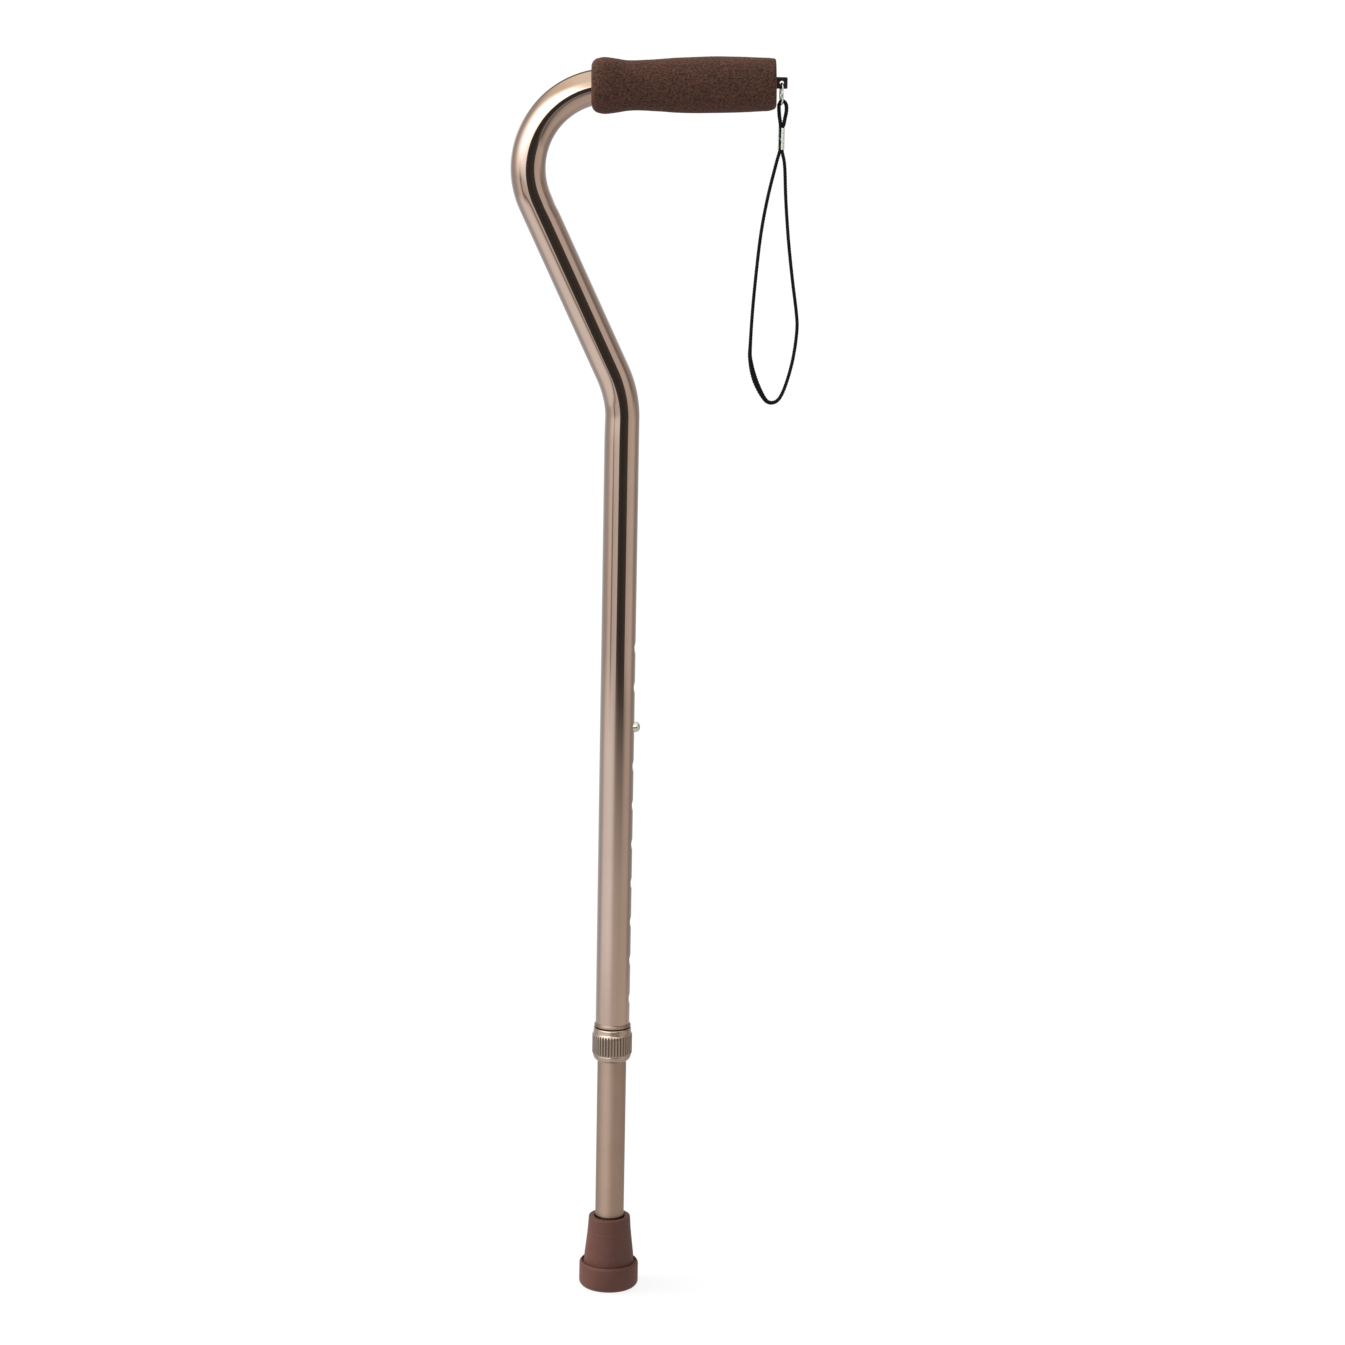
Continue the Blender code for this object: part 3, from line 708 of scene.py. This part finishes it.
def build_bent_tube(material):
    """The upper tube: thread, holed shaft, two bends and the handle, with its bore."""
    bm = bmesh.new()
    holes = [HOLE_TOP_Z - index * HOLE_PITCH for index in range(HOLE_COUNT)]
    lip, half_columns = 0.3 * MM, 7
    straight = [OUTER_BOTTOM_Z + 11 * MM, 430 * MM, 470 * MM, 535 * MM]
    rim_radius = HOLE_RADIUS + lip
    outer, rims = holed_shaft(bm, OUTER_RADIUS, straight, holes, rim_radius, half_columns)
    inner, inner_rims = holed_shaft(bm, BORE_RADIUS, straight, holes, HOLE_RADIUS, half_columns)
    for z, rim, inner_rim in zip(sorted(holes), rims, inner_rims):
        line_hole(bm, rim, inner_rim, z, lip)
    outer_end, inner_end = outer[-1], inner[-1]
    for centre, out in bend_stations():
        ring = add_ring(bm, ring_points(centre, out, OUTER_RADIUS, dented=True))
        bridge(bm, outer_end, ring)
        outer_end = ring
        ring = add_ring(bm, ring_points(centre, out, BORE_RADIUS))
        bridge(bm, inner_end, ring)
        inner_end = ring
    bridge(bm, outer_end, inner_end)
    turns, pitch, depth, half = 6, 1.5 * MM, 0.4 * MM, 0.55 * MM
    thread = [(OUTER_BOTTOM_Z + 10.5 * MM, 0.0)]
    for turn in reversed(range(turns)):
        middle = OUTER_BOTTOM_Z + 1.3 * MM + turn * pitch
        thread += [(middle + half, 0.0), (middle, depth), (middle - half, 0.0)]
    thread.append((OUTER_BOTTOM_Z, 0.0))
    loop = outer[0]
    for z, cut in thread:
        ring = shaft_ring(bm, z, OUTER_RADIUS - cut)
        bridge(bm, loop, ring)
        loop = ring
    foot = shaft_ring(bm, OUTER_BOTTOM_Z, BORE_RADIUS)
    bridge(bm, loop, foot)
    bridge(bm, foot, inner[0])
    tube = finish_mesh("bent_tube", bm)
    return dress(tube, material, "upper_frame", "bronze_polished", "handle_tube")


def build_leg_tube(material):
    """The lower tube with its button hole, from inside the rubber tip to inside the upper tube."""
    bm = bmesh.new()
    bottom, top = low("lower_tube")[2], high("lower_tube")[2]
    ends = [bottom + 0.4 * MM, top - 0.6 * MM]
    lip, half_columns, hole = 0.2 * MM, 8, [BUTTON_Z]
    rim_radius = HOLE_RADIUS + lip
    outer, rims = holed_shaft(bm, INNER_RADIUS, ends, hole, rim_radius, half_columns)
    inner, inner_rims = holed_shaft(bm, INNER_BORE_RADIUS, ends, hole, HOLE_RADIUS, half_columns)
    line_hole(bm, rims[0], inner_rims[0], BUTTON_Z, lip)
    for outside, inside, end in ((outer[0], inner[0], bottom), (outer[-1], inner[-1], top)):
        loop = outside
        for radius in (INNER_RADIUS - 0.4 * MM, INNER_BORE_RADIUS):
            ring = shaft_ring(bm, end, radius)
            bridge(bm, loop, ring)
            loop = ring
        bridge(bm, loop, inside)
    tube = finish_mesh("leg_tube", bm)
    return dress(tube, material, "lower_leg", "bronze_satin", "lower_tube")


# --- grip, plug and strap ---


def build_grip(material):
    """The foam sleeve: a fuller rear end, a shallow waist and slightly uneven skin."""
    length = 112.2
    rear = arc((11.5, 5.2), 5.2, -90, -15, 8)
    front = arc((14.2, length - 1.6), 1.6, 20, 90, 5)
    waist = [
        (17.2, 8.0),
        (16.3, 15.4),
        (15.3, 22.0),
        (15.2, 31.0),
        (15.8, 40.0),
        (16.5, 51.0),
        (17.05, 66.0),
        (17.05, 82.0),
        (16.6, 95.0),
        (16.1, 106.5),
    ]
    knots = [Vector((*rear[-1], 0)), *(Vector((r, z, 0)) for r, z in waist)]
    knots.append(Vector((*front[0], 0)))
    side = [(point.x, point.y) for point in smooth_route(knots, 120)][1:-1]
    bore = (OUTER_RADIUS + 0.1 * MM) / MM
    mouth = [(bore + 0.5, 0.0), (bore, 0.6)]
    outline = mouth[::-1] + rear + side + front + [(bore + 0.4, length), (bore, length - 0.5)]
    front_frame = handle_frame()
    start = (-21.7 * MM - front_frame.translation.x) / math.cos(HANDLE_RISE)
    place = front_frame @ Matrix.Translation((0, 0, start))
    inside, wear, wear_reach = 12, 1.5, 5.5

    def uneven(angle, radius, z):
        if radius < inside:
            return radius
        spot = Vector((math.cos(angle) * 0.8, math.sin(angle) * 0.8, z / 22.0))
        near_end = max(0.0, (z - length + wear_reach) / wear_reach)
        worn = wear * max(0.0, math.cos(angle)) * near_end**2
        return radius - worn + 0.22 * noise.noise(spot * 1.7) + 0.05 * noise.noise(spot * 14.0)

    grip = turned("foam_sleeve", outline, 128, place=place, shape=uneven)
    dress(grip, material, "upper_frame", "grip_foam", "foam_grip")
    return grip


def build_end_plug(material):
    """The end plug's face and shank, with the strap's tab and its hole."""
    tube_end = (HANDLE_END_X - handle_frame().translation.x) / math.cos(HANDLE_RISE) / MM
    shank, face = 9.2, 10.6
    profile = rounded(
        [
            (0.0, tube_end + 2.2, 0),
            (face, tube_end + 2.2, 0.9),
            (face, tube_end + 0.3, 0.15),
            (shank, tube_end + 0.3, 0.1),
            (shank, tube_end - 17.0, 0.3),
            (shank - 1.0, tube_end - 18.5, 0.4),
            (0.0, tube_end - 18.5, 0),
        ]
    )
    plug = turned("end_plug", profile, 64, ring=False, place=handle_frame())
    plug = united(plug, build_tab())
    return dress(plug, material, "upper_frame", "plug_plastic", "handle_plug")


def build_tab():
    """The flat tab on the plug's face: a rounded plate with a hole and softened edges."""
    root, front = 88.6 * MM, high("handle_plug")[0]
    bottom, top = 770.1 * MM, 777.0 * MM
    thickness, corner, soft = 4.0 * MM, 0.7 * MM, 0.3 * MM
    outline = [(root, top), (root, bottom)]
    outline += arc((front - corner, bottom + corner), corner, -90, 0, 6)
    outline += arc((front - corner, top - corner), corner, 0, 90, 6)
    hole = arc((RING_HOLE_X, RING_HOLE_Z), RING_HOLE_RADIUS, 0, 360, 32)[:-1]
    bm = bmesh.new()
    edges = []
    for loop in (outline, hole):
        verts = [bm.verts.new((x, -thickness / 2, z)) for x, z in loop]
        edges += [bm.edges.new((a, b)) for a, b in zip(verts, verts[1:] + verts[:1])]
    plate = bmesh.ops.triangle_fill(bm, use_beauty=True, edges=edges)["geom"]
    faces = [part for part in plate if isinstance(part, bmesh.types.BMFace)]
    back = bmesh.ops.extrude_face_region(bm, geom=faces, use_keep_orig=True)["geom"]
    moved = [part for part in back if isinstance(part, bmesh.types.BMVert)]
    bmesh.ops.translate(bm, verts=moved, vec=(0, thickness, 0))
    bmesh.ops.recalc_face_normals(bm, faces=bm.faces)
    rims = [edge for edge in bm.edges if edge.calc_face_angle(0.0) > math.radians(60)]
    bmesh.ops.bevel(bm, geom=rims, offset=soft, segments=2, affect="EDGES", profile=0.5)
    return finish_mesh("tab", bm)


def build_strap_cord(material):
    """The braided cord: three strands twisted together, pressed flat on one stretch."""
    points = smooth_route([Vector((x, 0, z)) for x, z in CORD_ROUTE], 900)
    columns = 18
    step = (points[1] - points[0]).length
    clip_low, clip_high = low("cord_ferrule")[2], high("cord_ferrule")[2]
    for point in points:
        point.x += LOOP_NUDGE * min(1.0, max(0.0, point.z - clip_high) / BRAID_WIDTH)
    rows = []
    for index, point in enumerate(points):
        before, after = points[max(index - 1, 0)], points[min(index + 1, len(points) - 1)]
        along = (after - before).normalized()
        out = Vector((along.z, 0, -along.x))
        flat = math.exp(-(((index / len(points) - CORD_FLAT_AT) / CORD_FLAT_REACH) ** 2))
        clear = max(clip_low - point.z, point.z - clip_high, 0.0) / BRAID_WIDTH
        free = min(1.0, clear)
        fuller = LOOP_FULLNESS if point.z > clip_high else 1.0
        radius = BRAID_WIDTH / 2 * (BRAID_IN_FERRULE * (1 - free) + fuller * free)
        wide = radius * (1 + CORD_FLAT_WIDER * flat)
        thin = radius * (1 - CORD_FLAT_THINNER * flat)
        row = []
        for column in range(columns):
            angle = math.tau * column / columns
            wave = math.cos(BRAID_STRANDS * (angle - index * step * BRAID_TURNS * math.tau))
            reach = 1 - BRAID_GROOVE * free * (1 - wave) / 2
            across = out * (wide * math.cos(angle)) + Vector((0, thin * math.sin(angle), 0))
            row.append(point + across * reach)
        rows.append(row)
    rows.insert(0, [points[0].copy() for _ in range(columns)])
    rows.append([points[-1].copy() for _ in range(columns)])
    cord = surface("strap_cord", rows)
    dress(cord, material, "wrist_strap", "cord", "wrist_cord")
    return cord, points


def build_strap_ring(material):
    """The round wire ring, turned a little so that both its sides show from the front."""
    lowest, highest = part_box("strap_ring")
    centre = (lowest + highest) / 2
    wire = (highest[0] - lowest[0]) / 2
    radius = (highest[2] - lowest[2]) / 2 - wire
    place = Matrix.Translation(centre) @ Matrix.Rotation(math.radians(5.0), 4, "Z")
    rows = []
    steps, columns = 96, 20
    for step in range(steps):
        turn = math.tau * step / steps
        out = Vector((0, math.sin(turn), math.cos(turn)))
        row = []
        for column in range(columns):
            angle = math.tau * column / columns
            across = Vector((wire * math.sin(angle), 0, 0))
            row.append(place @ (out * (radius + wire * math.cos(angle)) + across))
        rows.append(row)
    ring = surface("wire_ring", rows, joined=True)
    return dress(ring, material, "strap_ring", "nickel", "strap_ring")


def build_ferrule(material):
    """A crimped sheet-metal clip round both strands; its open seam shows the left strand."""
    lowest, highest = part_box("cord_ferrule")
    centre = (lowest + highest) / 2
    strand_offset = 0.85
    outer, sheet = 1.22, 0.32
    height = (highest[2] - lowest[2]) / MM
    seam_edge = -0.05
    crimps, crimp_depth, crimp_reach = (-0.22, 0.22), 0.03, 0.9
    end_taper, steps = 0.06, 40

    def contour(radius):
        """The clip's line from one lip of the seam, round the back, to the other lip."""
        left = arc((-strand_offset, 0), radius, 235, 90, 16)
        right = arc((strand_offset, 0), radius, 90, -90, 20)
        return left + right + [(seam_edge, -radius)]

    outside, inside = contour(outer), contour(outer - sheet)
    section = outside + inside[::-1]
    rows = []
    for step in range(steps + 1):
        up = height * (step / steps - 0.5)
        crimp = 1 - crimp_depth * sum(
            math.exp(-(((up - place * height) / crimp_reach) ** 2)) for place in crimps
        )
        end = 1 - end_taper * (step in (0, steps))
        rows.append([centre + Vector((x * end, y * crimp * end, up)) * MM for x, y in section])
    bm = bmesh.new()
    loops = [[bm.verts.new(point) for point in row] for row in rows]
    for lower, upper in zip(loops, loops[1:]):
        bridge(bm, lower, upper)
    half = len(outside)
    for loop in (loops[0], loops[-1]):
        for index in range(half - 1):
            bm.faces.new((loop[index], loop[index + 1], loop[-index - 2], loop[-index - 1]))
    clip = finish_mesh("ferrule_clip", bm)
    return dress(clip, material, "wrist_strap", "nickel", "cord_ferrule")


def build_lock_nut(material):
    """The lock nut: a stepped shoulder, forty flutes and a smooth lower ring."""
    flute_depth, flute_sharpness, skirt, steps = 0.5, 1.8, 12.75, 6
    fluted = [
        (skirt, FLUTE_HIGH - (FLUTE_HIGH - FLUTE_LOW) * step / steps, 0.0)
        for step in range(steps + 1)
    ]
    profile = rounded(
        [
            (11.0, 174.6, 0),
            (11.0, NUT_EDGE, 0.05),
            (11.55, NUT_EDGE, 0.2),
            (11.95, 173.6, 0.4),
            (12.05, 170.7, 0.4),
            (12.5, 169.9, 0.3),
            *fluted,
            (12.45, 156.85, 0.2),
            (12.15, 156.6, 0.2),
            (12.3, 156.1, 0.5),
            (11.75, 154.0, 0.6),
            (10.5, 152.5, 0.5),
            (9.5, 152.5, 0.15),
            (9.5, 153.1, 0.1),
            (11.1, 158.9, 0),
        ],
        steps=3,
    )

    def shape(angle, radius, z):
        cut = (0.5 + 0.5 * math.cos(FLUTES * angle)) ** flute_sharpness
        fluted_here = skirt - flute_depth * cut
        return min(radius, fluted_here) if radius > skirt - flute_depth else radius

    nut = turned("lock_nut_shell", profile, 480, shape=shape)
    return dress(nut, material, "lock_nut", "bronze_polished", "lock_nut")


def build_collar(material):
    """The collar at the upper tube's foot: it hugs the tube and flares to a thin lip."""
    profile = rounded(
        [
            (10.82, 177.3, 0),
            (10.9, 177.3, 0.05),
            (10.98, 176.7, 0.5),
            (11.25, 176.1, 0.4),
            (11.75, 175.6, 0.2),
            (11.72, 175.2, 0.12),
            (10.82, 174.75, 0),
        ]
    )
    collar = turned("collar_band", profile, 128)
    return dress(collar, material, "upper_frame", "bronze_polished", "collar_ring")


def build_tip(material):
    """The rubber tip: a socket with a rolled rim, a tapered body, a flange and a ringed sole."""
    bore, floor_z = 9.5, 8.0
    rim = [(bore, 46.2, 0), (10.0, 47.0, 0.3), (12.9, 47.05, 0.35), (13.35, 46.5, 0.4)]
    body = [
        (13.5, 44.4, 0.5),
        (13.92, 37.2, 0.4),
        (14.12, 36.6, 0.4),
        (14.1, 35.4, 0.6),
        (15.85, 20.6, 1.4),
        (16.0, 15.4, 0.4),
        (17.1, 15.3, 0.4),
        (17.45, 16.3, 0.4),
        (18.0, 16.75, 0.5),
        (19.0, 15.4, 1.1),
        (19.0, 2.2, 1.2),
        (17.0, 0.0, 1.6),
    ]
    sole = [(15.0, 0.0, 0.3)]
    for outer, inner in ((14.6, 12.2), (10.2, 8.0), (6.0, 4.2)):
        sole += [(outer, 0.0, 0.2), (outer - 0.3, 1.2, 0.3)]
        sole += [(inner + 0.3, 1.2, 0.3), (inner, 0.0, 0.2)]
    profile = [(0.0, floor_z, 0), (bore, floor_z, 0.4), *rim, *body, *sole, (0.0, 0.0, 0)]

    def uneven(angle, radius, z):
        if radius <= bore or z < 1.5:
            return radius
        spot = Vector((math.cos(angle), math.sin(angle), z / 26.0))
        return radius + 0.09 * noise.noise(spot * 2.1)

    tip = turned("tip_boot", rounded(profile), 144, ring=False, shape=uneven)
    return dress(tip, material, "lower_leg", "tip_rubber", "rubber_tip")


def build_button(material):
    """The snap button: a domed pin with a flange inside the tube. It is turned about X."""
    tip, radius, flange, round_off = 14.4, 3.35, 4.2, 2.9
    dome = arc((tip - round_off, radius - round_off), round_off, 0, 90, 10)
    profile = [(0.0, 5.6), (flange - 0.2, 5.6), (flange, 5.8), (flange, 6.2)]
    profile += [(flange - 0.2, 6.4), (radius + 0.1, 6.4), (radius, 6.6)]
    profile += [(across, along) for along, across in dome[::-1]] + [(0.0, tip)]
    place = Matrix.Translation((0, 0, BUTTON_Z)) @ Matrix.Rotation(math.pi / 2, 4, "Y")
    button = turned("button_pin", profile, 64, ring=False, place=place)
    return dress(button, material, "snap_button", "nickel", "snap_button")


# --- lights and floor ---


ICY = (1.0, 1.15, 1.32)
COOL = (1.0, 1.08, 1.14)
EVEN = (1.0, 1.0, 1.0)
WARM = (1.0, 0.98, 0.94)

# How bright the room looks in the metal, as (degrees round from the camera's side, level, tint).
FLOOR_GLOW = [
    (-180, 0.60, COOL),
    (-138, 0.68, ICY),
    (-112, 0.66, COOL),
    (-98, 0.88, COOL),
    (-84, 1.20, COOL),
    (-66, 1.28, COOL),
    (-42, 1.36, COOL),
    (-30, 1.30, COOL),
    (-18, 1.13, COOL),
    (-6, 0.90, EVEN),
    (6, 0.80, EVEN),
    (30, 0.74, WARM),
    (66, 0.78, WARM),
    (88, 0.76, WARM),
    (108, 0.46, EVEN),
    (138, 0.48, COOL),
    (180, 0.60, COOL),
]
NEAR_HORIZON = [
    (-180, 0.70, COOL),
    (-140, 0.70, ICY),
    (-122, 0.60, COOL),
    (-94, 0.68, EVEN),
    (-76, 1.05, EVEN),
    (-66, 1.13, EVEN),
    (-59, 1.02, EVEN),
    (-54.5, 0.30, WARM),
    (-51, 0.30, WARM),
    (-46.5, 0.92, EVEN),
    (-14, 0.95, COOL),
    (52, 0.82, WARM),
    (78, 0.94, WARM),
    (92, 0.88, WARM),
    (104, 0.56, EVEN),
    (116, 0.44, EVEN),
    (138, 0.50, COOL),
    (180, 0.70, COOL),
]
ABOVE_HORIZON = [
    (-180, 1.60, COOL),
    (-150, 1.40, COOL),
    (-128, 0.62, EVEN),
    (-104, 0.72, EVEN),
    (-90, 1.15, COOL),
    (-70, 2.40, COOL),
    (-52, 3.70, COOL),
    (-8, 3.70, COOL),
    (20, 2.20, COOL),
    (44, 0.92, EVEN),
    (74, 0.92, EVEN),
    (86, 0.40, WARM),
    (98, 0.40, EVEN),
    (120, 0.54, EVEN),
    (146, 0.70, COOL),
    (180, 1.60, COOL),
]
OVERHEAD = (1.28, 1.26, 1.06)
TOP_FRONT = (1.50, 1.55, 1.45)
CEILING_BEHIND = (0.28, 0.24, 0.20)
WINDOW_LINE = (0.40, 0.36, 0.32)

# The dark gap by the camera: its sides in degrees, its shade across, how high its top is at each
# side, and how strongly the floor shows it round the cane.
GAP_LEFT, GAP_RIGHT = -14.5, 42.5
GAP_DARK = [(-14, 0.09, EVEN), (8, 0.055, WARM), (43, 0.10, WARM)]
GAP_TOP_LEFT, GAP_TOP_RIGHT = -0.09, 0.28
GAP_ON_FLOOR = [
    (-60, 0.0, EVEN),
    (-36, 0.10, EVEN),
    (-20, 0.22, EVEN),
    (-8, 0.75, EVEN),
    (6, 0.97, EVEN),
    (38, 0.97, EVEN),
    (54, 0.30, EVEN),
    (70, 0.0, EVEN),
]

# The floor's glow by the foot, the light that falls on matte surfaces, and the backdrop.
NEAR_FOOT = (0.83, 0.83, 0.83)
SOFT_LIGHT = (0.72, 0.72, 0.72)
WHITE = (1.0, 1.0, 1.0)


def round_ramp(tree, around, stops):
    """A ramp round the vertical axis. Each stop is (degrees, level, tint)."""
    return ramp(
        tree,
        around,
        [
            (turn_share(degrees), tuple(level * part for part in tint))
            for degrees, level, tint in stops
        ],
    )


def build_floor():
    """A plain pale floor. In the metal it shows only near the cane, brighter on the left."""
    material, tree, shader = new_material("pale_floor")
    shader.inputs["Base Color"].default_value = (0.14, 0.14, 0.14, 1.0)
    shader.inputs["Roughness"].default_value = 0.9
    shader.inputs["Specular IOR Level"].default_value = 0.0
    shader.inputs["Emission Color"].default_value = (1.0, 1.0, 1.0, 1.0)
    shader.inputs["Emission Strength"].default_value = 0.86
    place = add(tree, "TexCoord").outputs["Object"]
    around = azimuth_of(tree, place)
    distance = add(tree, "VectorMath", {0: place}, operation="LENGTH").outputs["Value"]
    by_foot = product(tree, smooth_step(tree, distance, 0.85, 0.5), 0.55)
    lit = mix_colors(tree, by_foot, round_ramp(tree, around, FLOOR_GLOW), NEAR_FOOT)
    gap = round_ramp(tree, around, GAP_ON_FLOOR)
    darkening = product(tree, smooth_step(tree, distance, 0.74, 2.0), gap)
    shadow = math_node(tree, "MULTIPLY_ADD", darkening, -0.92, 1.0)
    shade = mix_colors(tree, 1.0, lit, shadow, "MULTIPLY")
    mirrored = add(tree, "Emission", {"Color": shade})
    clear = add(tree, "BsdfTransparent")
    seen = mix_shaders(tree, smooth_step(tree, distance, 1.6, 2.1), mirrored, clear)
    bounced = add(tree, "Emission", {"Strength": 0.62})
    path = add(tree, "LightPath").outputs
    matte = mix_shaders(tree, path["Is Diffuse Ray"], shader, bounced)
    both = mix_shaders(tree, path["Is Glossy Ray"], matte, seen)
    tree.links.new(both.outputs[0], tree.nodes["Material Output"].inputs["Surface"])
    bm = bmesh.new()
    bmesh.ops.create_circle(bm, cap_ends=True, segments=96, radius=60.0)
    floor = finish_mesh("floor", bm)
    floor.data.materials.append(material)


def room_colour(tree, heading, height, around):
    """The room that the metal mirrors, but for the dark gap. height is the sine of elevation."""
    near = round_ramp(tree, around, NEAR_HORIZON)
    above = round_ramp(tree, around, ABOVE_HORIZON)
    rise = add(tree, "MapRange", {"Value": height, "From Min": -0.17, "From Max": 0.14})
    room = mix_colors(tree, rise.outputs["Result"], near, above)
    room = mix_colors(tree, smooth_step(tree, height, 0.50, 0.80), room, OVERHEAD)
    parts = add(tree, "SeparateXYZ", {"Vector": heading}).outputs
    leaning = math_node(tree, "DIVIDE", parts["X"], math_node(tree, "MAXIMUM", height, 0.05))
    middle = soft_band(tree, leaning, (-0.75, -0.35), (0.5, 0.2))
    top_front = product(tree, middle, smooth_step(tree, height, 0.06, 0.16), 0.85)
    room = mix_colors(tree, top_front, room, TOP_FRONT)
    behind = smooth_step(tree, parts["Y"], 0.55, 0.75)
    ceiling = product(tree, behind, smooth_step(tree, height, 0.2, 0.4))
    room = mix_colors(tree, ceiling, room, CEILING_BEHIND)
    line = soft_band(tree, height, (-0.335, -0.300), (-0.245, -0.280))
    left_end = (turn_share(-50), turn_share(-44))
    right_end = (turn_share(-16), turn_share(-20))
    line = product(tree, line, soft_band(tree, around, left_end, right_end))
    return mix_colors(tree, line, room, WINDOW_LINE)


def gap_mask(tree, height, around):
    """1 inside the dark gap by the camera. Its top climbs to the right."""
    left = smooth_step(tree, around, turn_share(GAP_LEFT - 1), turn_share(GAP_LEFT + 1))
    right = smooth_step(tree, around, turn_share(GAP_RIGHT + 2), turn_share(GAP_RIGHT - 1))
    slope = add(
        tree,
        "MapRange",
        {
            "Value": around,
            "From Min": turn_share(GAP_LEFT),
            "From Max": turn_share(GAP_RIGHT),
            "To Min": GAP_TOP_LEFT,
            "To Max": GAP_TOP_RIGHT,
        },
    ).outputs["Result"]
    raised = smooth_step(tree, around, turn_share(-13), turn_share(-4))
    edge = math_node(tree, "MULTIPLY_ADD", raised, 0.12, slope)
    top = smooth_step(tree, math_node(tree, "SUBTRACT", height, edge), 0.02, -0.02)
    bottom = smooth_step(tree, height, -0.46, -0.24)
    return product(tree, left, right, top, bottom)


def build_world():
    """Soft light all round. In the metal: a bright softbox, and a dark gap by the camera."""
    world = bpy.data.worlds.new("studio")
    world.use_nodes = True
    SCENE.world = world
    tree = world.node_tree
    tree.nodes.clear()
    heading = add(tree, "TexCoord").outputs["Generated"]
    height = add(tree, "SeparateXYZ", {"Vector": heading}).outputs["Z"]
    around = azimuth_of(tree, heading)
    room = room_colour(tree, heading, height, around)
    dark = round_ramp(tree, around, GAP_DARK)
    glossy = mix_colors(tree, gap_mask(tree, height, around), room, dark)
    path = add(tree, "LightPath").outputs
    light = mix_colors(tree, path["Is Glossy Ray"], SOFT_LIGHT, glossy)
    colour = mix_colors(tree, path["Is Camera Ray"], light, WHITE)
    background = add(tree, "Background", {"Color": colour, "Strength": 1.0})
    output = tree.nodes.new("ShaderNodeOutputWorld")
    tree.links.new(background.outputs["Background"], output.inputs["Surface"])


def build_lights():
    """A large soft key from the left."""
    light = bpy.data.lights.new("key", "SUN")
    light.energy = 2.97
    light.angle = math.radians(50.0)
    key = bpy.data.objects.new("key", light)
    key.rotation_euler = Vector((0.84, 0.0, -0.54)).to_track_quat("-Z", "Y").to_euler()
    key.visible_glossy = False
    SCENE.collection.objects.link(key)


# --- the scene ---

SCENE.view_settings.view_transform = "Standard"
make_camera()

cord, cord_points = build_strap_cord(cord_fibre())
build_strap_ring(metal("nickel"))
build_bent_tube(metal("bronze_polished"))
# The leg tube's metal carries a painted dark reflection of the rubber rim just above the tip.
build_leg_tube(paint_dark(metal("bronze_satin"), foot_painted_reflection))
build_grip(foam())
build_end_plug(moulded("dark_plastic"))
ferrule = build_ferrule(metal("dull_nickel"))
build_collar(metal("bronze_collar"))
# The lock nut's metal carries painted shade in its flutes and on the face under the collar.
build_lock_nut(paint_dark(metal("bronze_nut"), nut_painted_shade))
build_tip(moulded("brown_rubber"))
build_button(metal("button_steel"))

steel = metal("spring_steel")
carried = {"collet": moulded("nylon"), "button_spring": steel, "tip_washer": steel}
for node, material in carried.items():
    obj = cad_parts[node]
    obj.data.materials.clear()
    obj.data.materials.append(material)

build_floor()
build_world()
build_lights()
